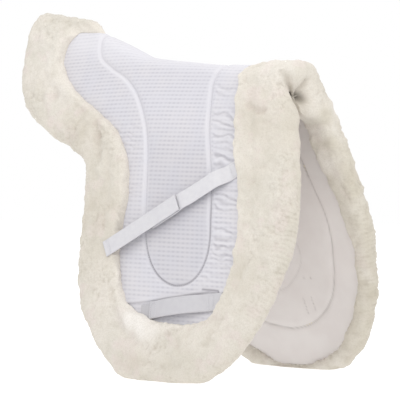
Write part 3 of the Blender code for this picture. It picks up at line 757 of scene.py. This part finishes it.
    # soiled and cleaner spots mixed with painted shade and painted highlight, plus random variation
    tone_with_painted_light = np.zeros((rows, cols))
    for cu, cs, size, amount in SOIL_AND_PAINTED_LIGHT[side]:
        tone_with_painted_light += amount * np.exp(-(((u - cu) ** 2 + (s - cs) ** 2) / size**2))
    tone_with_painted_light = clamp(tone_with_painted_light * (1 + 0.5 * noise(q3, 22, 19)) + (0.1 + 0.2 * far_side) * noise(q3, 24, 18), -1, 1)
    # painted shade in the pit between the three lobes
    hollow = clamp(0.75 * pit)
    # partly the fleece's rubbed, grubby colour and partly painted shade: doubled on the far roll, which lies in the
    # near flap's shade
    wear_and_far_shade = np.maximum(np.exp(-(((j - OUT_N - 2) / 12.0) ** 2)), 0.4 * (j > OUT_N)) * (0.35 + 0.65 * smooth(s, 0, 70)) * (1.0 if side > 0 else 0.5)
    # painted highlight: 1 at the lip that turns up over the cover, fading out a quarter of the way round towards the
    # outer edge
    rim = smooth(OUT_N * 0.24 - j, 0, OUT_N * 0.2) + 0 * s
    weight = np.ones(cols)
    weight[visible:] = 0.2
    across = np.concatenate([[0], np.cumsum(weight[:-1])])
    across = across / (across[-1] + 0.2)
    turn = side > 0
    ob = make(name, p.reshape(-1, 3), grid_faces(rows, cols, ring=True, turn=turn), FLEECE, bake=ring_uv(rows, cols, across, 3, turn), values={"crevice_shade_level": crevice_shade_level, "wear_and_far_shade": wear_and_far_shade, "rim": rim, "tone_with_painted_light": tone_with_painted_light, "hollow": hollow})
    # the stuffing, a little under the fleece all round
    deep = np.where(j < OUT_N, n - 24.4, 11.6 - n)
    deep = np.where((reach < 17) & (j < visible), 8.0, deep)
    draw = np.where(j < visible, clamp(0.45 * deep, 0.2, 3.4) + 1.3 * push * top + 1.6 * over * smooth(deep, 1, 5), 0.4)
    body = p - nv * (draw * MM)[..., None] - ahead * (12.0 * smooth(u, 150, 170) * smooth(s, 100, 70) * smooth(reach, 34, 14) * MM)[..., None]
    body[..., 2] = np.maximum(body[..., 2], 0.003)
    pick_r = np.unique(np.append(np.arange(0, rows, 4), rows - 1))
    pick_c = np.unique(np.concatenate([np.arange(12, visible, 4), [visible - 1], np.arange(visible, cols)]))
    body = body[np.ix_(pick_r, pick_c)]
    body[[0, -1], :, 1] = p[[0, -1]][:, pick_c, 1]
    part = across[pick_c] * 0.98
    inner = make(name.replace("fleece_roll", "roll_wadding"), body.reshape(-1, 3), grid_faces(len(pick_r), len(pick_c), ring=True, turn=turn), WADDING, bake=ring_uv(len(pick_r), len(pick_c), part, 2, turn))
    return ob, inner


# ---------------------------------------------------------------- cover and lining
PANEL = [
    (52, -31), (52, -2), (49, 12), (54, 40), (63, 77), (77, 113), (92, 150), (109, 204), (119, 236), (121, 260),
    (116, 282), (103, 298), (80, 305.5), (56, 301.5), (34, 289), (17, 271), (2, 245), (-10, 211), (-22, 171),
    (-37, 125), (-52, 90), (-70, 62), (-92, 37), (-118, 19), (-151, 6), (-176, -8), (-184, -24), (-187, -50),
]
PANEL_LINE = spline(PANEL, 4.0)
HEM = [(0, 343), (20, 338.5), (47, 332), (90, 321), (142, 305), (172, 304)]
U_SEAM = [
    (152, 92), (164, 116), (174, 139), (185, 163), (194, 184), (199, 204), (202, 233), (202, 263), (197, 301),
    (188, 321), (173, 340), (157, 354), (139, 364), (110, 372), (68, 371), (30, 362), (-6, 338), (-34, 297),
    (-50, 250), (-60, 200),
]
NESTED = [(120, 200), (135, 232), (141, 244), (144, 260), (142, 268), (136, 280), (125, 295), (108, 311), (84, 320)]


def panel_depth(q):
    """Signed distance from the panel's seam, positive inside it."""
    d, _, along = to_line(q, PANEL_LINE)
    return np.where(inside(q, PANEL_LINE), d, -d), along


def cover_height(u, s, side):
    """How far the cover's outer face stands at each point, the painted shade in its seam, gathers, hem and slit, how
    plain the knit shows, and the painted highlight on it.
    """
    q = np.stack([u, s], -1)
    d, along = panel_depth(q)
    p3 = np.stack([u, s, side * 90.0 * smooth(s, -24, 10)], -1)
    n = np.full(u.shape, 24.1)
    # the padded panel, its seam, and the smooth turned band on the rear side of the seam
    n += 1.1 * smooth(d, 0, 12) + 0.9 * smooth(-d, 0, 8) * (1 - smooth(-d, 10, 28))
    n -= 1.7 * np.exp(-((d / 3.0) ** 2))
    ahead = smooth(along, 290, 225)
    low_part = smooth(along, 200, 240) * smooth(along, 500, 440)
    band = ahead * np.exp(-(((d - 3.6) / 3.0) ** 2)) + (1 - ahead) * (1 - low_part) * np.exp(-(((d + 3.6) / 3.0) ** 2))
    n += 0.7 * band
    # painted shadow along the seam, heaviest under the panel's raised lower edge, and painted shade on the panel's
    # lower half
    shade_and_marks = (0.16 + 0.62 * low_part) * np.exp(-(((d + 0.4 - 0.8 * (1 - ahead)) / (1.05 + 0.3 * low_part)) ** 2))
    shade_and_marks += 0.12 * smooth(d, 1, 9) * smooth(s, 60, 140)
    knit = 1 - np.exp(-((d / 3.2) ** 2)) - 0.9 * band
    # painted highlight on the turned band, weaker on its lower part
    painted_highlight = 0.5 * band * (1 - 0.45 * smooth(s, 100, 165))
    # gathers in the strips beside the panel, running towards the fleece
    front = smooth(-d, 4, 10) * (u > -60 + 0.45 * s)
    rear = smooth(-d, 3, 10) * (1 - (u > -60 + 0.45 * s)) * smooth(s, 60, 110)
    shift = 3.4 * noise(p3, 30, 21) + 1.4 * noise(p3, 13, 22)
    valley = (0.5 + 0.5 * np.cos(2 * np.pi * (s - 0.10 * u + shift * 2.0) / 9.8)) ** 2.4
    small = (0.5 + 0.5 * np.cos(2 * np.pi * (s - 0.10 * u + shift * 2.0) / 6.1 + 1.0)) ** 2.0
    strong = 0.4 + 0.7 * noise(p3 * (0.4, 1, 1), 24, 23) + 0.5 * np.exp(-(((s - 100) / 42) ** 2)) + 0.3 * np.exp(-(((s - 222) / 10) ** 2))
    on = front * clamp(strong, 0.08, 1.15) * smooth(s, -6, 30) * (1 - smooth(s, 285, 315))
    n += on * (0.6 - 1.5 * valley - 0.5 * small)
    # painted shade in the valleys of the gathers
    shade_and_marks += on * (0.22 * valley + 0.09 * small)
    # painted highlight on the crests of the gathers
    painted_highlight += on * 0.5 * clamp(1 - 1.6 * valley)
    on = rear * clamp(strong, 0.1, 1.0) * (1 - smooth(s, 300, 330))
    n += on * (0.3 - 0.9 * valley - 0.3 * small)
    # painted shade in the valleys of the rear gathers
    shade_and_marks += on * 0.05 * valley
    knit -= 0.35 * front * smooth(s, -6, 30) * (1 - smooth(s, 150, 200)) + 0.15 * rear
    # slow unevenness of the foam under the cloth
    n += 0.5 * noise(p3, 70, 25) + 0.22 * noise(p3, 24, 26) * smooth(s, -24, 4)
    # the turned hem along the girth loop: the strip below it lies lower
    hd, hs, _ = to_line(q, HEM)
    below = np.where(hs > 0, 1.0, -1.0) * hd
    under = smooth(below, -0.6, 1.2) * ((u > -5) & (s > 290))
    n -= 1.3 * under * (1 - smooth(below, 18, 40))
    hem = ((u > 2) & (u < 176) & (s > 290)) * 1.0
    n += 0.7 * np.exp(-(((below + 2.6) / 2.0) ** 2)) * hem
    # painted shade in a line just under the hem
    shade_and_marks += 0.24 * np.exp(-(((below - 0.6) / 0.9) ** 2)) * hem
    knit -= 0.9 * np.exp(-(((below + 2.4) / 3.0) ** 2)) * hem
    # the slit that the girth's end goes into, with a painted shadow along it
    e, _, _ = to_line(q, [(130, 303.6), (146, 302.2), (157.5, 301.6), (158.5, 303.5)])
    shade_and_marks += 0.75 * np.exp(-((e / 1.5) ** 2))
    n -= 0.7 * np.exp(-((e / 2.0) ** 2))
    # the knit's dashes
    knit = clamp(knit)
    column, line = cells(u, s)
    dash = (0.5 + 0.5 * np.cos(2 * np.pi * line)) ** 1.5 * (0.725 + 0.275 * np.cos(2 * np.pi * column))
    n -= 0.30 * dash * knit
    n = np.maximum(n, 22.6) - dip(u, s)
    # painted highlight over the crown of the fold
    painted_highlight = np.maximum(painted_highlight, 0.7 * smooth(-s, -8, 26))
    return n, shade_and_marks, knit, clamp(painted_highlight)


def cells(u, s):
    """The knit's columns and rows, counted, at each point of the cover."""
    low, high = np.maximum(s, 20.0), np.minimum(s - 20.0, 0.0)
    column = u * (0.1269 - 0.000065 * (s - 60)) - 0.034 * (low - 60 + 70 * np.exp((60 - low) / 70)) + 0.026 * high
    line = 0.014 * u - 0.000035 * np.minimum(u + 20, 0.0) ** 2 + 0.1548 * s - 0.84 * np.exp((20 - low) / 30) + 0.028 * high
    return column, line


def lining_height(u, s, side):
    q = np.stack([u, s], -1)
    d, hand, _ = to_line(q, spline(U_SEAM, 5.0))
    d = d * hand
    p3 = np.stack([u, s, side * 60.0 * smooth(s, -24, 10)], -1)
    n = np.full(u.shape, 12.0)
    n -= 1.0 * smooth(d, 0, 10) * (1 - smooth(d, 30, 80)) + 0.5 * smooth(-d, 0, 8) * (1 - smooth(-d, 10, 30))
    n += 1.5 * np.exp(-((d / 2.0) ** 2))
    # painted shade along the U seam's groove
    shade_and_marks = 0.32 * np.exp(-(((d + 0.6) / 1.1) ** 2))
    e, _, _ = to_line(q, spline(NESTED, 5.0))
    n += 0.7 * np.exp(-((e / 1.8) ** 2))
    shade_and_marks += 0.16 * np.exp(-((e / 1.0) ** 2))
    for a, b in (((141, 321), (147, 343)), ((156, 318), (162, 337)), ((164, 118), (172, 137))):
        f, _, along = to_line(q, [a, b])
        shade_and_marks += 0.42 * np.exp(-((f / 1.1) ** 2)) * (0.55 + 0.45 * np.cos(2 * np.pi * along / 4.4))
        n += 0.5 * np.exp(-((f / 1.6) ** 2))
    for c in ((146, 289), (159, 287)):
        f = np.hypot(u - c[0], s - c[1])
        shade_and_marks += 0.5 * np.exp(-((f / 1.3) ** 2))
        n += 0.6 * np.exp(-((f / 1.6) ** 2))
    # painted shade under the withers, where the fold shades the lining, and a little darker towards the hem
    shade_and_marks += 0.11 * smooth(s, 190, 90) * smooth(u, 60, 130) + 0.05 * smooth(s, 250, 300) * smooth(u, 140, 185)
    n += 0.9 * noise(p3, 85, 31) + 0.35 * noise(p3, 32, 32) - dip(u, s)
    return n, shade_and_marks, np.zeros_like(n), np.zeros_like(n)


def sheet_piece(name, side, kind):
    """The cover or the lining of one half: a fine grid from the crown down, clipped just under the fleece."""
    if kind == "cover":
        edge, step, (u0, u1, s1), mat = STATIONS[side][:, 2:4], 1.25, (-268, 186, 380), WAFFLE
    else:
        edge, step, (u0, u1, s1), mat = STATIONS[side][:, 4:6], 2.3, (-322, 256, 444), LINING
    us = np.arange(u0, u1 + step, step)
    upper = int(round(44 / step))
    rows = upper + int(math.ceil(s1 / step))
    k = np.arange(rows + 1)[:, None] - upper
    top = crown(us)[None, :]
    s = np.where(k < 0, top * (-k / upper), k * step + 0 * top)
    u = np.broadcast_to(us[None, :], s.shape)
    n, shade_and_marks, knit, painted_highlight = (cover_height if kind == "cover" else lining_height)(u, s, side)
    p = place(u, s, n, side)
    p[0, :, 1] = 0.0
    p[..., 2] = np.maximum(p[..., 2], 0.0025)
    # keep what lies inside the fleece's edge, and a strip under it
    ring = np.vstack([edge, [(edge[-1][0], -120), (edge[0][0], -120)]])[::3]
    q = np.stack([u, s], -1)
    mid = (q[:-1, :-1] + q[1:, 1:]) / 2
    d, _, _ = to_line(mid, edge[::4])
    keep = inside(mid, ring) | (d < 9)
    cols = len(us)
    faces = grid_faces(rows + 1, cols, turn=(side > 0) == (kind == "cover"))[keep.ravel()]
    used = np.unique(faces)
    slot = np.full((rows + 1) * cols, -1)
    slot[used] = np.arange(len(used))
    faces = slot[faces]
    uv = np.stack([(u - u0) / (u1 - u0 + 2 * step), np.broadcast_to(np.arange(rows + 1)[:, None] / (rows + 1), u.shape)], -1).reshape(-1, 2)[used] * 0.98 + 0.01
    flat = np.stack(cells(u, s) if kind == "cover" else (u / 10, s / 10), -1).reshape(-1, 2)[used]
    return make(name, p.reshape(-1, 3)[used], faces, mat, bake=uv[faces], flat=flat[faces], values={"painted_shade_and_marks": clamp(shade_and_marks).reshape(-1)[used], "knit": knit.reshape(-1)[used], "painted_highlight": painted_highlight.reshape(-1)[used]})


# ---------------------------------------------------------------- straps
def girth_uv(t, a=0.0):
    d = np.array((111.0, -29.4)) / math.hypot(111, 29.4)
    return 47 + d[0] * t - d[1] * a, 347 + d[1] * t + d[0] * a


def ribbon(name, side, where, path, width, thick, mat=None, wobble=0.2, rolled=(0.0, 0.0), seed=0, painted_strap_shade=(0.0, 0.0)):
    """A flat strap along where(t, a), with its middle at path's n, woven edges and soft corners.
    rolled thickens its first and last few mm, as a turned end."""
    line = spline([(t, n) for t, n in path], 1.1)
    t, mid = line[:, 0], line[:, 1]
    half = width / 2
    a = np.concatenate([[-half], np.linspace(-half + 0.5, half - 0.5, 23), [half]])
    ring_a = np.concatenate([a, a[::-1]])
    lip = np.concatenate([[0.25], np.ones(23), [0.25]])
    up = np.concatenate([lip, -lip[::-1]])
    q = np.stack([t, np.zeros_like(t), np.full_like(t, 7.0 * side + seed)], -1)
    bow = wobble * noise(q, 28, 41)
    edge = 0.18 * np.exp(-(((np.abs(ring_a) - (half - 1.6)) / 0.9) ** 2)) * (up > 0)
    swell = np.zeros_like(t)
    if rolled[0]:
        swell += rolled[0] * dome((t - t[0]) / 1.2) * (1 - smooth(t - t[0], 3.2, 5.0))
    if rolled[1]:
        swell += rolled[1] * dome((t[-1] - t) / 1.2) * (1 - smooth(t[-1] - t, 3.2, 5.0))
    n = mid[:, None] + bow[:, None] + up[None, :] * (thick / 2) + edge[None, :] + swell[:, None] * (up[None, :] > 0)
    u, s = where(t[:, None] + 0 * ring_a[None, :], ring_a[None, :] + 0 * t[:, None])
    p = place(u, s, n, side)
    rows, cols = p.shape[:2]
    turn = side > 0
    faces = grid_faces(rows, cols, ring=True, turn=turn)
    across = np.arange(cols) / cols
    bake = ring_uv(rows, cols, across, 2 if len(t) > 90 else 1, turn)
    per = np.stack([np.broadcast_to(t[:, None], (rows, cols)), np.broadcast_to(ring_a[None, :], (rows, cols))], -1).reshape(-1, 2) / 10
    flat = per[faces]
    # end caps: each a fan of quads from edge to edge
    verts = p.reshape(-1, 3)
    caps = []
    for row in (0, rows - 1):
        for j in range(24):
            quad = [row * cols + j, row * cols + j + 1, row * cols + cols - 2 - j, row * cols + cols - 1 - j]
            if (row == 0) != turn:
                quad = quad[::-1]
            caps.append(quad)
    caps = np.array(caps)
    small = np.zeros((len(caps), 4, 2))
    small[:, :, 0] = (0.001, 0.003, 0.003, 0.001)
    small[:, :, 1] = (0.001, 0.001, 0.003, 0.003)
    faces = np.vstack([faces, caps])
    bake = np.vstack([bake, small])
    flat = np.vstack([flat, per[caps]])
    # painted shade along the strap, from its first value at the start to its second at the end
    tone_with_painted_light = np.repeat(np.interp(t, (t[0], t[-1]), painted_strap_shade), cols)
    return make(name, verts, faces, mat or WEBBING, bake=bake, flat=flat, values={"painted_strap_shade": tone_with_painted_light})


def stitches(name, side, runs, pitch=3.4, length=2.5, r=0.33):
    """Sewn thread: one small arched capsule for each stitch along each run of (u, s, n) points."""
    verts, faces, uv = [], [], []
    turns, steps = 6, 6
    ang = np.linspace(0, 2 * np.pi, turns, endpoint=False)
    count = 0
    for run in runs:
        run = np.asarray(run, float)
        far = np.concatenate([[0], np.cumsum(np.linalg.norm(np.diff(run, axis=0), axis=1))])
        for k in range(int(far[-1] // pitch)):
            at = np.linspace(k * pitch + (pitch - length) / 2, k * pitch + (pitch + length) / 2, steps)
            c = np.stack([np.interp(at, far, run[:, i]) for i in range(3)], 1)
            x = np.linspace(-1, 1, steps)
            c[:, 2] += 0.35 * (1 - x**2)
            size = r * np.sqrt(np.maximum(0.08, 1 - x**4))
            d = c[-1, :2] - c[0, :2]
            d = d / max(np.hypot(*d), 1e-9)
            cross = np.array((-d[1], d[0]))
            ring = np.zeros((steps, turns, 3))
            for j, w in enumerate(ang):
                ring[:, j, :2] = c[:, :2] + cross * (math.cos(w) * size)[:, None]
                ring[:, j, 2] = c[:, 2] + math.sin(w) * size
            verts.append(place(ring[..., 0], ring[..., 1], ring[..., 2], side).reshape(-1, 3))
            f = grid_faces(steps, turns, ring=True, turn=side > 0)
            faces.append(f + count * steps * turns)
            count += 1
    total = max(count, 1)
    grid = int(math.ceil(math.sqrt(total)))
    for k in range(count):
        cell = ring_uv(steps, turns, np.arange(turns) / turns, 1, side > 0)
        uv.append((cell + np.array((k % grid, k // grid))) / grid)
    return make(name, np.vstack(verts), np.vstack(faces), THREAD, bake=np.vstack(uv))


def patch(name, side, where, t0, t1, n0, n1, width, hooks):
    """A hook or loop patch: a closed slab whose working face is nubbed."""
    t = np.arange(t0, t1 + 0.01, 0.9)
    a = np.linspace(-width / 2, width / 2, int(width / 0.9))
    tt, aa = np.meshgrid(t, a, indexing="ij")
    q = np.stack([tt, aa, np.full_like(tt, 5.0 * side)], -1)
    rough = np.abs(np.sin(tt * 2.2) * np.sin(aa * 2.2)) * 0.25 if hooks else 0.28 * tufts(q, 2.2, 9)
    rim = np.minimum(np.minimum(tt - t0, t1 - tt), width / 2 - np.abs(aa))
    rough = rough * smooth(rim, 0, 1.6)
    face = n0 - rough + 0.1 if hooks else n1 + rough - 0.1
    other = n1 if hooks else n0
    u, s = where(tt, aa)
    upper, lower = (np.full_like(tt, other), face) if hooks else (face, np.full_like(tt, other))
    pu, pl = place(u, s, upper, side), place(u, s, lower, side)
    rows, cols = tt.shape
    verts = np.vstack([pu.reshape(-1, 3), pl.reshape(-1, 3)])
    top = grid_faces(rows, cols, turn=side > 0)
    bottom = grid_faces(rows, cols, turn=side < 0) + rows * cols
    rim_line = [i * cols for i in range(rows)] + [(rows - 1) * cols + j for j in range(1, cols)] + [i * cols + cols - 1 for i in range(rows - 2, -1, -1)] + list(range(cols - 2, 0, -1))
    walls = []
    for x, y in zip(rim_line, rim_line[1:] + rim_line[:1]):
        quad = [x, y, y + rows * cols, x + rows * cols]
        walls.append(quad if side < 0 else quad[::-1])
    faces = np.vstack([top, bottom, np.array(walls)])
    base = np.stack([(tt - t0) / (t1 - t0), (aa + width / 2) / width], -1).reshape(-1, 2)
    bake = np.vstack([(base * (0.96, 0.46) + (0.02, 0.02))[top], (base * (0.96, 0.46) + (0.02, 0.51))[bottom - rows * cols], np.broadcast_to(np.array(((0.001, 0.001), (0.003, 0.001), (0.003, 0.003), (0.001, 0.003))), (len(walls), 4, 2))])
    return make(name, verts, faces, HOOKS, bake=bake)


def rectangle(where, t0, t1, half, n):
    """The corners of a sewn box, as one closed run of (u, s, n)."""
    pts = []
    for t, a in ((t0, -half), (t1, -half), (t1, half), (t0, half), (t0, -half)):
        u, s = where(t, a)
        pts.append((u, s, n))
    return pts


made = {}
for word, side in SIDES:
    flap, spine = word + "_flap", "spine"

    roll, stuffing = fleece_roll(word + "_fleece_roll", side)
    bend_flap(stuffing, side)
    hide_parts(word + "_trim_wadding", "withers_wadding", "cantle_wadding")
    bend_flap(roll, side)
    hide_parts(word + "_fleece_front", word + "_fleece_bottom", word + "_fleece_rear", "withers_fleece", "cantle_fleece")

    cover = sheet_piece(word + "_waffle_cover", side, "cover")
    bend_flap(cover, side)
    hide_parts(word + "_outer_cover", "spine_cover")

    lining = sheet_piece(word + "_smooth_lining", side, "lining")
    bend_flap(lining, side)
    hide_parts(word + "_lining", "spine_lining")

    # thread in the panel's seam
    seam = spline(PANEL[2:-3], 3.0)
    n, _, _, _ = cover_height(seam[:, 0], seam[:, 1], side)
    seam_thread = stitches(word + "_panel_stitching", side, [np.column_stack([seam, n])], pitch=3.6, length=2.4, r=0.26)
    bend_flap(seam_thread, side)
    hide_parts(word + "_panel_seam")

    # the billet strap, in two parts that hold on each other
    # painted shade greys the strap towards its rear and the tab all along
    strap = ribbon(word + "_billet_webbing", side, billet_uv, [(1, 24.9), (6, 25.3), (14, 25.6), (20, 26.2), (29, 30.0), (38, 32.7), (60, 32.9), (84, 33.4), (94, 34.7), (100, 34.9), (104, 34.1), (108, 33.2), (113, 32.8), (156, 32.8)], 25.0, 1.6, rolled=(0, 0.0), seed=1, painted_strap_shade=(0.0, 0.22))
    at_point(*billet_uv(13.0), 26.3, side)
    at_point(*billet_uv(23.0), 26.3, side)
    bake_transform(strap)
    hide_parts(word + "_billet_strap_end", word + "_billet_strap")
    tab = ribbon(word + "_billet_tab_webbing", side, billet_uv, [(104, 37.2), (150, 37.2), (200, 37.2), (226, 37.2), (233, 37.2), (240, 37.2)], 25.0, 1.6, rolled=(0.5, 0.6), seed=2, painted_strap_shade=(0.18, 0.18))
    at_point(*billet_uv(229.5), 38.1, side)
    at_point(*billet_uv(221.5), 38.1, side)
    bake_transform(tab)
    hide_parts(word + "_billet_tab_end", word + "_billet_tab")
    loops = patch(word + "_billet_loop_tape", side, billet_uv, 108, 154, 34.0, 34.8, 22.0, hooks=False)
    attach(loops, word + "_billet_strap")
    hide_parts(word + "_billet_loop_patch")
    hooks = patch(word + "_billet_hook_tape", side, billet_uv, 107, 155, 35.2, 36.0, 22.0, hooks=True)
    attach(hooks, word + "_billet_tab")
    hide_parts(word + "_billet_hook_patch")
    front = stitches(word + "_billet_front_thread", side, [rectangle(billet_uv, 4.5, 12.5, 10.0, 26.5)], pitch=3.0, length=2.2)
    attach(front, flap)
    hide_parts(word + "_billet_front_stitching")
    rear = stitches(word + "_billet_rear_thread", side, [rectangle(billet_uv, 231.0, 238.2, 10.0, 38.15)], pitch=3.0, length=2.2)
    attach(rear, flap)
    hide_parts(word + "_billet_rear_stitching")

    # the girth loop
    # painted shade greys the girth loop and its backing
    loop = ribbon(word + "_girth_webbing", side, girth_uv, [(2.5, 27.2), (10, 27.2), (18, 28.2), (28, 30.4), (40, 31.7), (56, 32.2), (70, 31.8), (84, 30.0), (94, 27.6), (103, 25.8), (112, 25.4), (127, 25.2)], 25.0, 1.7, rolled=(0.0, 0.0), seed=3, painted_strap_shade=(0.55, 0.45))
    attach(loop, flap)
    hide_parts(word + "_girth_loop")
    under = ribbon(word + "_girth_backing", side, girth_uv, [(-14, 24.9), (2, 25.0), (19, 24.9)], 20.0, 1.0, wobble=0.1, seed=4, painted_strap_shade=(0.7, 0.8))
    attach(under, flap)
    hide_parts(word + "_girth_underlay")
    sewn = stitches(word + "_girth_rear_thread", side, [rectangle(girth_uv, 5.3, 14.0, 10.0, 28.25)], pitch=3.0, length=2.2)
    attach(sewn, flap)
    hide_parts(word + "_girth_rear_stitching")
    sewn = stitches(word + "_girth_front_thread", side, [rectangle(girth_uv, 104.5, 112.5, 10.0, 26.4)], pitch=3.0, length=2.2)
    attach(sewn, flap)
    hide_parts(word + "_girth_front_stitching")

def arch_foam(name, u0, u1, n0, n1, side):
    """Half of the foam under the fold: a bent slab from the crown to the seam, stopping inside the fleece at both ends."""
    u = np.linspace(u0, u1, int((u1 - u0) / 6))[:, None]
    half = np.linspace(0, 1, 26)
    arcs = []
    for n in (n1, n0):
        # its lower end slopes, so that the flap can fold further in
        end = -(0.6 + (24.1 - n) * 0.105) * 24.1 / n
        s = crown(u) * half[None, :] + end * (1 - half[None, :])
        arc = place(u, s, n - dip(u, s), side)
        arcs.append(arc if n == n1 else arc[:, ::-1])
    p = np.concatenate(arcs, axis=1)
    rows, cols = p.shape[:2]
    faces = grid_faces(rows, cols, ring=True, turn=side == -1)
    bake = ring_uv(rows, cols, np.arange(cols) / cols, 1, turn=side == -1)
    caps = []
    for row in (0, rows - 1):
        for k in range(cols // 2 - 1):
            quad = [row * cols + k, row * cols + k + 1, row * cols + cols - 2 - k, row * cols + cols - 1 - k]
            caps.append(quad if (row == 0) == (side == -1) else quad[::-1])
    small = np.broadcast_to(np.array(((0.001, 0.001), (0.003, 0.001), (0.003, 0.003), (0.001, 0.003))), (len(caps), 4, 2))
    return make(name, p.reshape(-1, 3), np.vstack([faces, caps]), FOAM, bake=np.vstack([bake, small]))


for word, side in SIDES:
    fold_foam = arch_foam(word + "_fold_foam", -304, 148, 13.8, 21.8, side)
    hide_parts("spine_foam")
    bend_flap(fold_foam, side)
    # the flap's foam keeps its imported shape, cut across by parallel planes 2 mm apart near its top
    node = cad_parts[word + "_foam_core"]
    core = bpy.data.objects.new(word + "_flap_foam", node.data.copy())
    scene.collection.objects.link(core)
    bm = bmesh.new()
    bm.from_mesh(core.data)
    d = np.array((0.0, side * 0.8, -0.6))
    d = np.array(((math.cos(TAU), 0, math.sin(TAU)), (0, 1, 0), (-math.sin(TAU), 0, math.cos(TAU)))) @ d
    for k in range(-1, 26, 2):
        everything = bm.verts[:] + bm.edges[:] + bm.faces[:]
        bmesh.ops.bisect_plane(bm, geom=everything, dist=1e-6, plane_co=tuple(STAND + 0.001 * k * d), plane_no=tuple(d))
    bm.to_mesh(core.data)
    bm.free()
    core.data.materials.clear()
    core.data.materials.append(FOAM)
    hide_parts(word + "_foam_core")
    bend_flap(core, side)

# the panels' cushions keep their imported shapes, hidden between the cloths
for name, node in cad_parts.items():
    if node.hide_render:
        continue
    mat = WADDING if name.endswith("wadding") else FOAM
    node.data.materials.clear()
    node.data.materials.append(mat)

# ---------------------------------------------------------------- studio
floor = bpy.data.meshes.new("floor")
floor.from_pydata([(-6, -6, 0), (6, -6, 0), (6, 6, 0), (-6, 6, 0)], [], [(0, 1, 2, 3)])
floor_ob = bpy.data.objects.new("studio_floor", floor)
scene.collection.objects.link(floor_ob)
fm = Paint("studio_floor", rough=1.0, spec=0.0)
speck = fm.noise(fm.node("ShaderNodeTexCoord").outputs["Object"], 3.0)
fm.finish(fm.mix(fm.fit(speck, 0.3, 0.7), srgb(150, 150, 150), srgb(156, 156, 156)))
fm.bsdf.inputs["Emission Color"].default_value = (1, 1, 1, 1)
fm.bsdf.inputs["Emission Strength"].default_value = 0.9
floor.materials.append(fm.mat)

world = bpy.data.worlds.new("studio")
world.use_nodes = True
world.node_tree.nodes["Background"].inputs["Color"].default_value = (1, 1, 1, 1)
world.node_tree.nodes["Background"].inputs["Strength"].default_value = 1.0
scene.world = world

AZ, EL, DIST, TARGET = math.radians(41.0), math.radians(1.0), 3.2, Vector((0.043, 0.0, 0.2466))
back = Vector((math.sin(AZ) * math.cos(EL), -math.cos(AZ) * math.cos(EL), math.sin(EL)))
right = Vector((math.cos(AZ), math.sin(AZ), 0.0))


def lamp(name, where, size, power, color=(1, 1, 1)):
    data = bpy.data.lights.new(name, "AREA")
    data.shape = "DISK"
    data.size = size
    data.energy = power
    data.color = color
    ob = bpy.data.objects.new(name, data)
    ob.location = where
    ob.rotation_euler = (TARGET - Vector(where)).to_track_quat("-Z", "Y").to_euler()
    scene.collection.objects.link(ob)
    return ob


lamp("key_light", TARGET + right * 0.05 + back * 0.55 + Vector((0, 0, 1.0)), 1.5, 4.6, (1.0, 0.99, 0.97))

cam = bpy.data.cameras.new("camera")
cam.sensor_width = 36.0
cam.lens = 200.9
cam.clip_end = 50
cam_ob = bpy.data.objects.new("camera", cam)
cam_ob.location = TARGET + back * DIST
cam_ob.rotation_euler = back.to_track_quat("Z", "Y").to_euler()
scene.collection.objects.link(cam_ob)
scene.camera = cam_ob
scene.view_settings.view_transform = "Standard"
scene.view_settings.look = "None"
